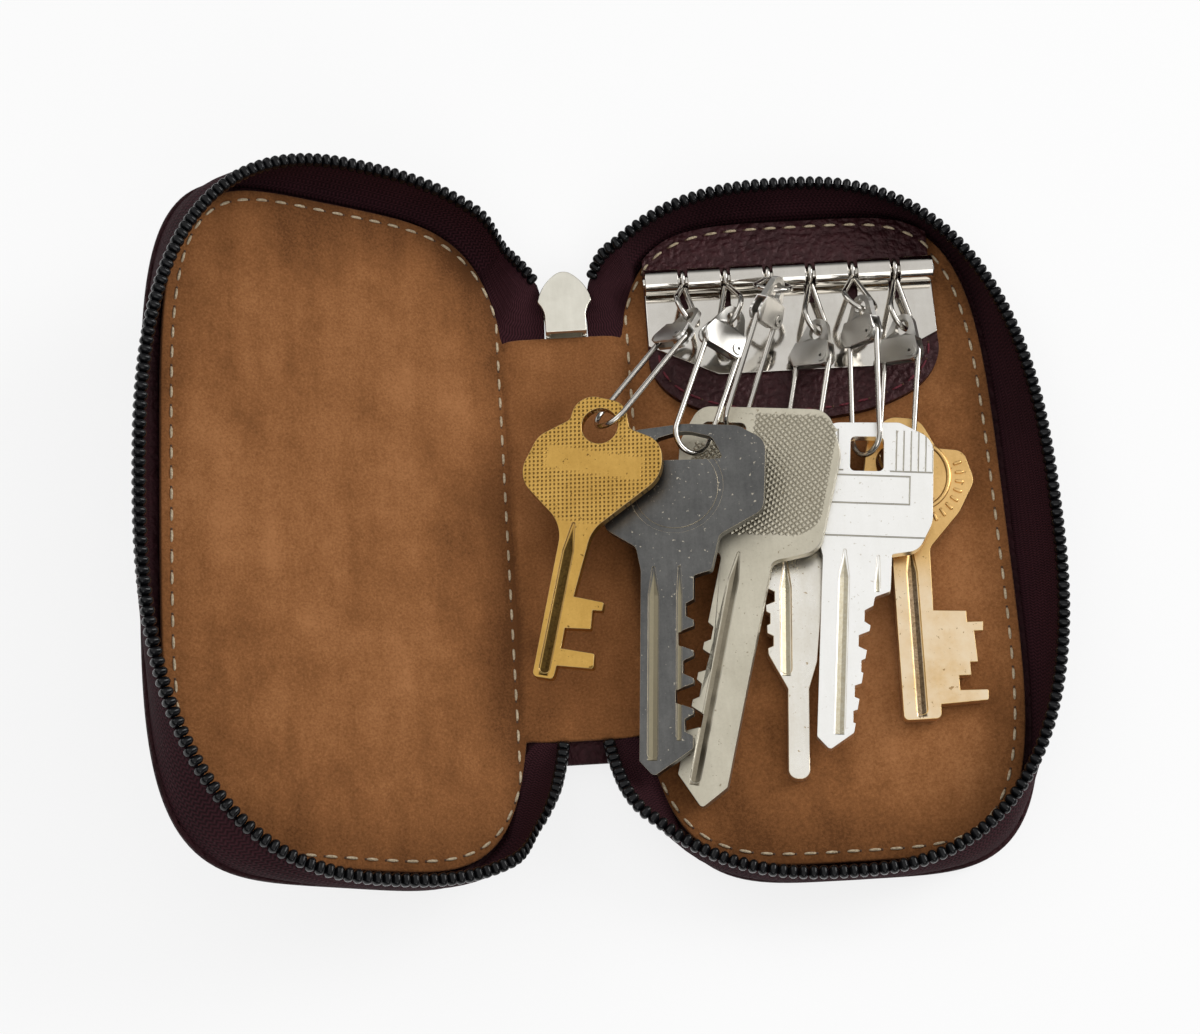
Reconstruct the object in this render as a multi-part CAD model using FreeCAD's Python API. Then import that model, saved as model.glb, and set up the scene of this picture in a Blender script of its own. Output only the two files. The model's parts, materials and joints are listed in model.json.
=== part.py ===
import FreeCAD, Part
import math
import os

# Zip-around key case, opened like a book, with six keys on its key row.
# Millimetres. The origin is the centre of the right cover's underside, +X points away from
# the spine, +Y runs along the spine towards the zip slider, and +Z is up.

# Covers
cover_width = 61.7           # fold axis to outer edge
cover_height = 113.0
outer_squareness = 4.3       # exponent of the rounded outline on the outer side
inner_squareness = 4.3       # and on the fold side
leather_thick = 1.2
board_thick = 0.8
lining_thick = 1.0
lining_inset = 2.3           # leather edge to lining edge
board_inset = 5.0            # leather edge to stiffener edge
fold_gap = 0.6               # cover pieces start this far from the fold axis
fold_overreach = 1.0         # the cut outline runs this far past the fold axis
left_cover_lift = 30.0       # degrees, left cover above the table

# Spine
spine_width = 19.2           # fold axis to fold axis
spine_clearance = 0.7        # spine pieces start this far from a fold axis
spine_bottom = 2.0           # underside above the table, with room for the puller
spine_leather_thick = 1.0
spine_lining_thick = 1.0
spine_low_end = -33.0        # lining, towards the zip's open end
spine_high_end = 35.0        # lining, towards the slider
spine_leather_reach = 3.5    # leather beyond the lining at the low end
fold_axis_height = 2.4
fold_play = 0.05             # rolled fold of the spine leather to the cover pieces
fold_web = 0.6               # thickness of the leather between roll and spine

# Zip
tape_thick = 1.0
tape_edge_inset = 0.3        # leather edge to tape at the foot of the wall
zip_height = 10.8            # middle of the teeth above the table
coil_radius = 1.1
zip_centre = 28.2            # of the teeth line, from the fold axis
zip_reach_outer = 37.6
zip_reach_inner = 42.2
zip_half_length = 57.3
zip_squareness = 2.5
zip_end_angle = 120.0        # the walls stop here, degrees round from +X
zip_end_setback = 3.2        # spine ends of the zip start this far past the fold axis
zip_end_gap = 0.1            # coil to the tape or leather under it
zip_bend_along = 0.45        # share of the way along an end where the coil has come down
zip_bend_drop = 0.8          # share of the drop done there
zip_mouth_lift = 0.5         # coil above the middle of the slider's channel
zip_mouth_reach = 0.8        # start of the slider end's coils, beyond the slider's nose
zip_mouth_rise = 2.0         # and above the slider's mouth
zip_foot_gap = 1.2           # lining end to coil end

# Zip slider and puller
slider_shift = 1.0           # slider's middle, from the spine's middle towards the right cover
slider_gap = 0.2             # lining end to slider tail
slider_length = 10.8
slider_tail_half = 3.35
slider_wide_half = 4.4
slider_shoulder = 0.5        # shares of the length: widest point, end of the straight tail,
slider_waist = 0.25          # and the bulge of the nose curve
slider_bulge = 0.77
slider_bulge_half = 0.75     # shares of the widest half: nose curve's bulge and nose's tip
slider_tip_half = 0.26
slider_tip_round = 0.3       # roundness of the nose
slider_flare = 0.25          # tail to shoulder curve
slider_flange = 0.7
slider_flange_share = 0.35   # of the channel's height, each flange
slider_post_inset = 0.8
slider_plate_thick = 0.9
slider_plate_bottom = 2.0
slider_channel = 2.1         # between the two plates
slider_post_radius = 1.1
slider_mouth = 1.2           # coil ends, back from the nose
slider_mouth_gap = 0.2       # coil middle, out from the widest edge
bail_width = 1.6
bail_bar = 0.6
bail_floor = 0.15            # lowest point of the bail above the table
bail_front = 2.4             # front leg, back from the nose
bail_length = 6.2
puller_thick = 0.7
puller_width = 6.4
puller_length = 24.0
puller_eye_width = 2.6
puller_eye_length = 4.6
puller_bar = 0.9
puller_gap = 0.25            # puller below the spine leather
puller_play = 0.35           # puller's end bar to the bail's front leg
puller_shoulder = 0.45       # share of the puller's length where it is widest
puller_corner = 1.8
puller_flank = 6.0           # radius of the widest corners
puller_eye_corner = 0.5

# Patch, key bar and rod
patch_thick = 1.2
patch_half_width = 23.6
patch_bottom = 18.2          # lowest point of the round end
patch_round = 13.0           # height of the round end
patch_curve = 0.8            # fullness of the patch's lower curve
patch_curve_steps = 12
patch_edge_gap = 0.4         # lining edge to patch edge
bar_centre = -2.65           # middle of the key row
bar_y = 42.8
knuckle_length = 5.4
knuckle_gap = 1.55
knuckle_radius = 2.1
hook_count = 6
rod_radius = 0.9
rod_fit = 0.05
rod_head = 0.35              # rod end beyond the last knuckle
plate_thick = 0.6
plate_side = 32.2            # where the side edges end and the chamfers start
plate_bottom = 26.6
plate_bottom_half = 12.5
plate_notch = 4.3            # slot below each gap, from the rod's axis
rivet_spacing = 18.0
rivet_y = 31.5
rivet_radius = 0.9
rivet_head_radius = 1.6
rivet_head = 0.4
rivet_fit = 0.05

# Hooks: swivel link, folded clasp, eyelet rivet and wire loop
link_wire = 0.45
link_fit = 0.1
link_length = 12.0           # rod axis to the wire that carries the clasp
link_ring = 2.8              # radius of the wire's middle in the round end
clasp_sheet = 0.45
clasp_hole = 1.3
clasp_rim = 0.9
loop_wire = 0.45
loop_fit = 0.1               # wire to clasp sheets
loop_half = 3.2              # half the width of the loop, at the wire's middle
hook_reach = 24.0            # clasp hole to the far end of the loop
pivot_drop = 4.4             # clasp hole to the eyelet's height
pivot_radius = 0.5
pivot_fit = 0.05
pivot_head_radius = 0.95
pivot_head = 0.25
pivot_bore = 0.25
clasp_corner = 1.4
clasp_lip = 0.2              # clasp's left corner, in from the loop's wire
clasp_shoulder = 0.6         # share of the rim where the two sheets part
catch_drop = 0.5             # loop's free end below the eyelet's height

# Keys
key_thick = 1.9
groove_depth = 0.35
groove_end_round = 0.9       # share of a groove's half width
cut_flat = 0.22              # shares of the cut pitch: half of a cut's flat,
cut_flank = 0.24             # and a cut's flank
cut_slope = 0.1              # the flank's growth with the cut's depth
groove_width = 1.7
groove_narrow = 0.9          # second groove of a blade
groove_tip = 0.2             # half width at the bow end
groove_tip_round = 0.12
groove_taper = 4.5           # length that draws in to the tip
groove_shoulder_round = 3.0

# Each hook and key, in degrees: the link's lift above level, the hook's swing to the left and its
# slope down to the key, the turn of clasp and loop about their own length (positive lifts the
# right side), the key's heading to the left of straight down, and the tilt of the key's plane:
# roll lifts the right side and pitch lowers the blade.
hooks = [
    {"lift": 34.0, "swing": 39.6, "slope": -4.6, "turn": 53, "heading": 15.4, "roll": 10, "pitch": 4.0},
    {"lift": 31.0, "swing": 21.9, "slope": -1.4, "turn": -31, "heading": 5.0, "roll": 10, "pitch": 4.0},
    {"lift": 53.9, "swing": 21.6, "slope": 15.2, "turn": -64, "heading": 15.5, "roll": 10, "pitch": 2.5},
    {"lift": 13.0, "swing": 13.1, "slope": 7.0, "turn": 40, "heading": 4.5, "roll": 0, "pitch": 1.5},
    {"lift": 35.0, "swing": 3.1, "slope": 8.1, "turn": 55, "heading": 7.0, "roll": 4, "pitch": 2.5},
    {"lift": 13.0, "swing": 8.5, "slope": 7.0, "turn": 40, "heading": 1.7, "roll": 0, "pitch": 2.0},
]

# Worked out from the sizes above
right_fold = -cover_width / 2
left_fold = right_fold - spine_width
spine_middle = right_fold - spine_width / 2
lining_top = leather_thick + board_thick + lining_thick
spine_leather_top = spine_bottom + spine_leather_thick
spine_lining_top = spine_leather_top + spine_lining_thick
slider_x = spine_middle + slider_shift
slider_tail = spine_high_end + slider_gap
slider_nose = slider_tail + slider_length
slider_low_top = slider_plate_bottom + slider_plate_thick
slider_high_bottom = slider_low_top + slider_channel
patch_top = lining_top + patch_thick
plate_top = patch_top + plate_thick
rod_z = patch_top + knuckle_radius
knuckle_pitch = knuckle_length + knuckle_gap
bar_length = knuckle_length + hook_count * knuckle_pitch
bar_start = bar_centre - bar_length / 2
clasp_half = loop_wire + loop_fit + clasp_sheet
pivot_x = loop_half - pivot_radius - pivot_fit - loop_wire

nodes = {}


def vec(x, y, z=0.0):
    return FreeCAD.Vector(x, y, z)


def box(low, high):
    size = high - low
    return Part.makeBox(size.x, size.y, size.z, low)


def round_outline(centre, reach_in, reach_out, half, square_in, square_out, angles, grow=0.0):
    """Points of a rounded outline at polar angles, moved outwards by grow."""
    def point(angle):
        c = math.cos(angle)
        s = math.sin(angle)
        reach = reach_out if c >= 0 else reach_in
        power = square_out if c >= 0 else square_in
        size = (abs(c / reach) ** power + abs(s / half) ** power) ** (-1.0 / power)
        return vec(centre + size * c, size * s)

    points = []
    for angle in angles:
        along = point(angle + 1e-4) - point(angle - 1e-4)
        along.normalize()
        points.append(point(angle) + vec(along.y, -along.x) * grow)
    return points


def full_turn(count=60):
    return [2 * math.pi * i / count for i in range(count)]


def wall_angles(count=41):
    end = math.radians(zip_end_angle)
    return [-end + 2 * end * i / (count - 1) for i in range(count)]


def cover_outline(inset, angles):
    """Cover outline in from the leather's edge, reaching past the fold."""
    middle = cover_width / 2
    return round_outline(middle, middle + fold_overreach + inset, middle, cover_height / 2,
                         inner_squareness, outer_squareness, angles, -inset)


def teeth_line(angles, grow=0.0):
    return round_outline(zip_centre, zip_reach_inner, zip_reach_outer, zip_half_length,
                         zip_squareness, zip_squareness, angles, grow)


def spline(points, z, closed=False):
    curve = Part.BSplineCurve()
    curve.interpolate([vec(p.x, p.y, z) for p in points], PeriodicFlag=closed)
    return curve.toShape()


def slab(points, low, high):
    face = Part.Face(Part.Wire(spline(points, low, True)))
    return face.extrude(vec(0, 0, high - low))


def rounded_polygon(corners):
    """Closed wire through (x, y, radius) corners, each rounded by its radius."""
    count = len(corners)
    starts = []
    ends = []
    arcs = []
    for i in range(count):
        x, y, radius = corners[i]
        here = vec(x, y)
        back = vec(*corners[i - 1][:2]) - here
        ahead = vec(*corners[(i + 1) % count][:2]) - here
        back.normalize()
        ahead.normalize()
        if radius == 0:
            starts.append(here)
            ends.append(here)
            arcs.append(None)
            continue
        half = back.getAngle(ahead) / 2
        trim = radius / math.tan(half)
        bisector = back + ahead
        bisector.normalize()
        middle = here + bisector * (radius / math.sin(half) - radius)
        starts.append(here + back * trim)
        ends.append(here + ahead * trim)
        arcs.append(Part.Arc(starts[-1], middle, ends[-1]).toShape())
    edges = []
    for i in range(count):
        if arcs[i] is not None:
            edges.append(arcs[i])
        following = starts[(i + 1) % count]
        if (following - ends[i]).Length > 1e-6:
            edges.append(Part.LineSegment(ends[i], following).toShape())
    return Part.Wire(edges)


def plate(corners, low, high):
    face = Part.Face(rounded_polygon(corners))
    face.translate(vec(0, 0, low))
    return face.extrude(vec(0, 0, high - low))


def disc(x, y, radius, low, high):
    return Part.makeCylinder(radius, high - low, vec(x, y, low))


def rounded_path(points, share=0.45):
    """Straight runs between points, joined by tangent arcs as large as the runs allow."""
    edges = []
    last = points[0]
    for i in range(1, len(points) - 1):
        back = points[i - 1] - points[i]
        ahead = points[i + 1] - points[i]
        trim = share * min(back.Length, ahead.Length)
        back.normalize()
        ahead.normalize()
        half = back.getAngle(ahead) / 2
        radius = trim * math.tan(half)
        bisector = back + ahead
        bisector.normalize()
        start = points[i] + back * trim
        end = points[i] + ahead * trim
        middle = points[i] + bisector * (radius / math.sin(half) - radius)
        edges.append(Part.LineSegment(last, start).toShape())
        edges.append(Part.Arc(start, middle, end).toShape())
        last = end
    edges.append(Part.LineSegment(last, points[-1]).toShape())
    return edges


def wire_tube(edges, radius):
    """Round wire along straight and arc edges."""
    path = Part.Wire(edges)
    first = edges[0]
    start = first.valueAt(first.FirstParameter)
    along = first.tangentAt(first.FirstParameter)
    section = Part.Wire(Part.makeCircle(radius, start, along))
    return path.makePipeShell([section], True, False)


def placed(shape, origin, across, along):
    """Copy of a shape with its own x axis on across and its y axis on along."""
    normal = across.cross(along)
    matrix = FreeCAD.Matrix(across.x, along.x, normal.x, origin.x,
                            across.y, along.y, normal.y, origin.y,
                            across.z, along.z, normal.z, origin.z,
                            0, 0, 0, 1)
    moved = shape.copy()
    moved.Placement = FreeCAD.Placement(matrix).multiply(shape.Placement)
    return moved


def turned(vector, axis, degrees):
    return FreeCAD.Rotation(axis, degrees).multVec(vector)


def to_right_cover(shape):
    moved = shape.copy()
    moved.translate(vec(right_fold, 0))
    return moved


def to_left_cover(shape):
    """Mirror image of a right cover piece, lifted about the left fold."""
    moved = to_right_cover(shape).mirror(vec(spine_middle, 0), vec(1, 0, 0))
    moved.rotate(vec(left_fold, 0, fold_axis_height), vec(0, 1, 0), left_cover_lift)
    return moved


def make_covers():
    """Leather, stiffener, lining, zip tape and zip coil, once for each cover."""
    turn = full_turn()
    beyond = cover_height
    fold_side = box(vec(-beyond, -beyond, -1), vec(fold_gap, beyond, zip_height * 2))
    leather = slab(cover_outline(0, turn), 0, leather_thick).cut(fold_side)
    board_top = leather_thick + board_thick
    board = slab(cover_outline(board_inset, turn), leather_thick, board_top)
    board = board.cut(fold_side)
    lining = slab(cover_outline(lining_inset, turn), board_top, lining_top).cut(fold_side)

    angles = wall_angles()
    wall_top = zip_height - coil_radius
    sections = []
    for outer, inner, z in (
            (cover_outline(tape_edge_inset, angles),
             cover_outline(tape_edge_inset + tape_thick, angles), leather_thick),
            (teeth_line(angles, tape_thick / 2), teeth_line(angles, -tape_thick / 2), wall_top)):
        inner.reverse()
        outer_edge = spline(outer, z)
        inner_edge = spline(inner, z)
        far_end = Part.LineSegment(vec(outer[-1].x, outer[-1].y, z),
                                   vec(inner[0].x, inner[0].y, z)).toShape()
        near_end = Part.LineSegment(vec(inner[-1].x, inner[-1].y, z),
                                    vec(outer[0].x, outer[0].y, z)).toShape()
        sections.append(Part.Wire([outer_edge, far_end, inner_edge, near_end]))
    tape = Part.makeLoft(sections, True, True)

    route = [vec(p.x, p.y, zip_height) for p in teeth_line(wall_angles(21))]
    coil = wire_tube(rounded_path(route), coil_radius)

    for name, shape in (("outer_leather", leather), ("stiffener", board), ("lining", lining),
                        ("zip_tape", tape), ("zip_coil", coil)):
        nodes["right_" + name] = to_right_cover(shape)
        nodes["left_" + name] = to_left_cover(shape)


def make_spine():
    """Spine leather with a rolled fold on each hinge axis, and the lining strip on it."""
    low_x = left_fold + spine_clearance
    high_x = right_fold - spine_clearance
    low_y = spine_low_end - spine_leather_reach
    high_y = spine_high_end - slider_gap
    leather = box(vec(low_x, low_y, spine_bottom), vec(high_x, high_y, spine_leather_top))
    for fold, edge in ((left_fold, low_x), (right_fold, high_x)):
        roll = Part.makeCylinder(fold_gap - fold_play, high_y - low_y,
                                 vec(fold, low_y, fold_axis_height), vec(0, 1, 0))
        web = box(vec(min(fold, edge), low_y, spine_bottom),
                  vec(max(fold, edge), high_y, spine_bottom + fold_web))
        leather = leather.fuse([roll, web])
    nodes["spine_outer_leather"] = leather.removeSplitter()
    nodes["spine_lining"] = box(vec(low_x, spine_low_end, spine_leather_top),
                                vec(high_x, spine_high_end, spine_lining_top))


def zip_end(points):
    """Last stretch of one zip side: a coil that dips to the spine, and the tape under it."""
    coil = wire_tube(rounded_path(points), coil_radius)
    start = points[0]
    bend = points[1]
    flat = vec(bend.x - start.x, bend.y - start.y)
    slope = (start.z - bend.z) / flat.Length
    drop = coil_radius * math.sqrt(1 + slope * slope) + zip_end_gap
    foot = points[-1].z - coil_radius
    top = start.z - drop
    share = min(1.0, (top - foot - tape_thick / 2) / (start.z - bend.z))
    far = start + flat * share
    corners = [(start, foot), (far, foot), (far, top - share * (start.z - bend.z)), (start, top)]
    corners = [vec(point.x, point.y, z) for point, z in corners]
    side = vec(-flat.y, flat.x)
    side.normalize()
    face = Part.Face(Part.makePolygon(corners + corners[:1]))
    face.translate(side * (-tape_thick / 2))
    return coil, face.extrude(side * tape_thick)


def make_zip_ends():
    """Both ends of both zip sides, between the covers' walls and the spine."""
    start_angle = math.radians(zip_end_angle)
    while teeth_line([start_angle])[0].x > -zip_end_setback:
        start_angle += 0.002
    low_y = -teeth_line([start_angle])[0].y
    mouth_y = slider_nose - slider_mouth
    mouth_z = slider_low_top + slider_channel / 2 + zip_mouth_lift
    foot_y = spine_low_end - zip_foot_gap
    foot_z = spine_leather_top + coil_radius + zip_end_gap
    tops = []
    bottoms = []
    for side, fold in ((1, right_fold), (-1, left_fold)):
        start_x = fold - side * zip_end_setback
        mouth_x = slider_x + side * (slider_wide_half + slider_mouth_gap)
        tops.append(zip_end([vec(start_x, slider_nose + zip_mouth_reach, mouth_z + zip_mouth_rise),
                             vec(mouth_x, mouth_y, mouth_z)]))
        first = vec(start_x, low_y, zip_height)
        last = vec(spine_middle + side * spine_width / 4, foot_y, foot_z)
        bend = first + (last - first) * zip_bend_along
        bend.z = first.z + (last.z - first.z) * zip_bend_drop
        bottoms.append(zip_end([first, bend, last]))
    for name, ends in (("slider", tops), ("open", bottoms)):
        nodes["zip_coils_" + name + "_end"] = Part.makeCompound([e[0] for e in ends])
        nodes["zip_tapes_" + name + "_end"] = Part.makeCompound([e[1] for e in ends])


def make_slider():
    shoulder = slider_length * slider_shoulder
    waist = slider_length * slider_waist
    tip = vec(slider_wide_half * slider_tip_half, slider_length - slider_tip_round)
    right = [Part.LineSegment(vec(slider_tail_half, 0), vec(slider_tail_half, waist)),
             Part.Arc(vec(slider_tail_half, waist),
                      vec(slider_tail_half + slider_flare, (waist + shoulder) / 2),
                      vec(slider_wide_half, shoulder)),
             Part.Arc(vec(slider_wide_half, shoulder),
                      vec(slider_wide_half * slider_bulge_half, slider_length * slider_bulge),
                      tip)]
    edges = [curve.toShape() for curve in right]
    edges += [edge.mirror(vec(0, 0), vec(1, 0, 0)) for edge in edges]
    edges.append(Part.Arc(tip, vec(0, slider_length), vec(-tip.x, tip.y)).toShape())
    edges.append(Part.makeLine(vec(-slider_tail_half, 0), vec(slider_tail_half, 0)))
    outline = Part.Face(Part.Wire(Part.__sortEdges__(edges)))
    lower = outline.extrude(vec(0, 0, slider_plate_thick))
    lower.translate(vec(0, 0, slider_plate_bottom))
    upper = outline.extrude(vec(0, 0, slider_plate_thick))
    upper.translate(vec(0, 0, slider_high_bottom))
    post_y = slider_length - slider_post_radius - slider_post_inset
    post = disc(0, post_y, slider_post_radius, slider_low_top, slider_high_bottom)
    body = lower.fuse([upper, post])
    flange_height = slider_channel * slider_flange_share
    for side in (1, -1):
        inner = side * (slider_tail_half - slider_flange)
        outer = side * slider_tail_half
        low = vec(min(inner, outer), 0, slider_high_bottom - flange_height)
        high = vec(max(inner, outer), waist, slider_high_bottom)
        body = body.fuse(box(low, high))
        low = vec(min(inner, outer), 0, slider_low_top)
        high = vec(max(inner, outer), waist, slider_low_top + flange_height)
        body = body.fuse(box(low, high))
    front = slider_length - bail_front
    rear = front - bail_length
    half = bail_width / 2
    bar_top = bail_floor + bail_bar
    body = body.fuse([
        box(vec(-half, rear, bail_floor), vec(half, front, bar_top)),
        box(vec(-half, rear, bail_floor), vec(half, rear + bail_bar, slider_plate_bottom)),
        box(vec(-half, front - bail_bar, bail_floor), vec(half, front, slider_plate_bottom))])
    body = body.removeSplitter()
    body.translate(vec(slider_x, slider_tail))
    nodes["zip_slider"] = body

    # The puller's end bar sits inside the bail and its body lies back under the spine.
    top = spine_bottom - puller_gap
    low = top - puller_thick
    end = slider_tail + front - bail_bar - puller_play
    wide = puller_width / 2
    narrow = puller_eye_width / 2 + puller_bar
    widest = end - puller_length * puller_shoulder
    corners = [(-narrow, end, puller_eye_corner), (narrow, end, puller_eye_corner),
               (wide, widest, puller_flank), (wide, end - puller_length, puller_corner),
               (-wide, end - puller_length, puller_corner), (-wide, widest, puller_flank)]
    eye_half = puller_eye_width / 2
    eye_top = end - puller_bar
    eye_low = eye_top - puller_eye_length
    eye = [(-eye_half, eye_top, puller_eye_corner), (eye_half, eye_top, puller_eye_corner),
           (eye_half, eye_low, puller_eye_corner), (-eye_half, eye_low, puller_eye_corner)]
    puller = plate(corners, low, top).cut(plate(eye, low - 1, top + 1))
    puller.translate(vec(slider_x, 0))
    nodes["zip_puller"] = puller


def make_key_bar():
    """Sewn patch, rolled key bar, rod and the rivets that hold the bar."""
    left = bar_centre - patch_half_width
    right = bar_centre + patch_half_width
    side_end = patch_bottom + patch_round
    bottom_arc = Part.BSplineCurve()
    turns = [math.pi * i / patch_curve_steps for i in range(patch_curve_steps + 1)]
    bottom_arc.interpolate([vec(bar_centre - patch_half_width * math.cos(turn),
                                side_end - patch_round * math.sin(turn) ** patch_curve)
                            for turn in turns])
    top = cover_height / 2
    edges = [bottom_arc.toShape(),
             Part.makeLine(vec(right, side_end), vec(right, top)),
             Part.makeLine(vec(right, top), vec(left, top)),
             Part.makeLine(vec(left, top), vec(left, side_end))]
    patch = Part.Face(Part.Wire(edges)).extrude(vec(0, 0, patch_thick))
    patch.translate(vec(0, 0, lining_top))
    limit = to_right_cover(slab(cover_outline(lining_inset + patch_edge_gap, full_turn()),
                                lining_top - 1, patch_top + 1))
    patch = patch.common(limit)

    half = bar_length / 2
    sheet = plate([(-half, bar_y, 0), (-half, plate_side, 0), (-plate_bottom_half, plate_bottom, 1),
                   (plate_bottom_half, plate_bottom, 1), (half, plate_side, 0), (half, bar_y, 0)],
                  patch_top, plate_top)
    sheet.translate(vec(bar_centre, 0))
    for i in range(hook_count):
        gap = bar_start + knuckle_length + i * knuckle_pitch
        sheet = sheet.cut(box(vec(gap, bar_y - plate_notch, patch_top - 1),
                              vec(gap + knuckle_gap, bar_y + 1, plate_top + 1)))
    bar = sheet
    for i in range(hook_count + 1):
        start = vec(bar_start + i * knuckle_pitch, bar_y, rod_z)
        bar = bar.fuse(Part.makeCylinder(knuckle_radius, knuckle_length, start, vec(1, 0, 0)))
    bore = Part.makeCylinder(rod_radius + rod_fit, bar_length + 2,
                             vec(bar_start - 1, bar_y, rod_z), vec(1, 0, 0))
    bar = bar.cut(bore)

    shanks = []
    for side in (-1, 1):
        x = bar_centre + side * rivet_spacing / 2
        hole = disc(x, rivet_y, rivet_radius + rivet_fit, lining_top - 1, plate_top + 1)
        bar = bar.cut(hole)
        patch = patch.cut(hole)
        shank = disc(x, rivet_y, rivet_radius, lining_top, plate_top)
        shanks.append(shank.fuse(disc(x, rivet_y, rivet_head_radius, plate_top,
                                      plate_top + rivet_head)))
    nodes["key_patch"] = patch
    nodes["key_bar"] = bar.removeSplitter()
    nodes["key_bar_rivets"] = Part.makeCompound(shanks)
    nodes["key_bar_rod"] = Part.makeCylinder(rod_radius, bar_length + 2 * rod_head,
                                             vec(bar_start - rod_head, bar_y, rod_z),
                                             vec(1, 0, 0))


def swivel_link(frames):
    """Eye round the rod and a pear-shaped ring, turned square to its clasp."""
    eye_radius = rod_radius + link_fit + link_wire
    eye = Part.makeTorus(eye_radius, link_wire, frames["rod"], vec(1, 0, 0))
    neck = vec(0, -eye_radius)
    centre = vec(0, link_ring - link_length)
    lean = math.asin(link_ring / (neck.y - centre.y))
    touch_x = link_ring * math.cos(lean)
    touch_y = centre.y + link_ring * math.sin(lean)
    left = vec(-touch_x, touch_y)
    right = vec(touch_x, touch_y)
    edges = [Part.LineSegment(neck, left).toShape(),
             Part.Arc(left, vec(0, -link_length), right).toShape(),
             Part.LineSegment(right, neck).toShape()]
    tubes = [placed(wire_tube([edge], link_wire), frames["rod"], *frames["link_axes"])
             for edge in edges]
    return eye.fuse(tubes).removeSplitter()


def circle_hull(circles, low, high):
    """Prism round (x, y, radius) circles given in order, joined by outer tangents."""
    count = len(circles)
    tangents = []
    for i in range(count):
        x1, y1, r1 = circles[i]
        x2, y2, r2 = circles[(i + 1) % count]
        along = math.atan2(y2 - y1, x2 - x1)
        lean = math.acos((r1 - r2) / math.hypot(x2 - x1, y2 - y1))
        angle = along - lean
        out = vec(math.cos(angle), math.sin(angle))
        tangents.append((angle, vec(x1, y1) + out * r1, vec(x2, y2) + out * r2))
    edges = []
    for i in range(count):
        x, y, r = circles[i]
        before = tangents[i - 1]
        after = tangents[i]
        sweep = (after[0] - before[0]) % (2 * math.pi)
        middle = before[0] + sweep / 2
        bulge = vec(x, y) + vec(math.cos(middle), math.sin(middle)) * r
        edges.append(Part.Arc(before[2], bulge, after[1]).toShape())
        edges.append(Part.LineSegment(after[1], after[2]).toShape())
    face = Part.Face(Part.Wire(edges))
    face.translate(vec(0, 0, low))
    return face.extrude(vec(0, 0, high - low))


def clasp_plate():
    """Folded clasp: two sheets with room for the wire, pinched round the hole."""
    hole_radius = clasp_hole + clasp_rim
    circles = [(0, 0, hole_radius), (clasp_lip - loop_half, -pivot_drop, clasp_corner),
               (pivot_x, -pivot_drop, clasp_corner)]
    whole = circle_hull(circles, -clasp_half, clasp_half)
    room = clasp_half - clasp_sheet
    shoulder = -clasp_hole - clasp_rim * clasp_shoulder
    far = pivot_drop * 3
    pinch = clasp_sheet
    slot = box(vec(-far, -far, -room), vec(far, shoulder - clasp_sheet, room))
    front = box(vec(-far, shoulder, pinch), vec(far, far, far))
    back = box(vec(-far, shoulder, -far), vec(far, far, -pinch))
    hole = disc(0, 0, clasp_hole, -far, far)
    bore = disc(pivot_x, -pivot_drop, pivot_radius + pivot_fit, -far, far)
    return whole.cut([slot, front, back, hole, bore])


def clasp_rivet():
    tail = disc(pivot_x, -pivot_drop, pivot_radius, -clasp_half, clasp_half)
    top = disc(pivot_x, -pivot_drop, pivot_head_radius, clasp_half, clasp_half + pivot_head)
    low = disc(pivot_x, -pivot_drop, pivot_head_radius, -clasp_half - pivot_head, -clasp_half)
    bore = disc(pivot_x, -pivot_drop, pivot_bore, -pivot_drop, pivot_drop)
    return tail.fuse([top, low]).removeSplitter().cut(bore)


def wire_loop():
    """Wire with an eyelet on the rivet, round the key and back into the clasp."""
    eyelet = Part.makeTorus(pivot_radius + pivot_fit + loop_wire, loop_wire,
                            vec(pivot_x, -pivot_drop))
    turn_y = loop_half - hook_reach
    edges = [Part.LineSegment(vec(loop_half, -pivot_drop), vec(loop_half, turn_y)).toShape(),
             Part.Arc(vec(loop_half, turn_y), vec(0, -hook_reach),
                      vec(-loop_half, turn_y)).toShape(),
             Part.LineSegment(vec(-loop_half, turn_y),
                              vec(-loop_half, -pivot_drop - catch_drop)).toShape()]
    return eyelet.fuse(wire_tube(edges, loop_wire)).removeSplitter()


def cut_teeth(blade_edge, side, first, pitch, depths):
    """V cuts along a blade's edge; side is the way the edge faces."""
    cuts = []
    for i, depth in enumerate(depths):
        y = first - i * pitch
        outer = blade_edge + side * 1.0
        inner = blade_edge - side * depth
        flat = cut_flat * pitch
        flank = cut_flank * pitch + cut_slope * depth
        corners = [vec(outer, y + flat + flank), vec(inner, y + flat), vec(inner, y - flat),
                   vec(outer, y - flat - flank)]
        face = Part.Face(Part.makePolygon(corners + corners[:1]))
        face.translate(vec(0, 0, -key_thick))
        cuts.append(face.extrude(vec(0, 0, 2 * key_thick)))
    return cuts


def groove(x, top, bottom, width=groove_width):
    """Milled groove in the upper face of a blade, drawn in towards the bow."""
    half = width / 2
    corner = half * groove_end_round
    shoulder = top - groove_taper
    low = key_thick / 2 - groove_depth
    corners = [(x - groove_tip, top, groove_tip_round), (x + groove_tip, top, groove_tip_round),
               (x + half, shoulder, groove_shoulder_round), (x + half, bottom, corner),
               (x - half, bottom, corner), (x - half, shoulder, groove_shoulder_round)]
    return plate(corners, low, key_thick)


def through(corners):
    return plate(corners, -key_thick, key_thick)


def key_blank(corners, cuts):
    """Flat key from its outline, round the middle of its thickness."""
    blank = plate(corners, -key_thick / 2, key_thick / 2)
    return blank.cut(cuts)


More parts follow.
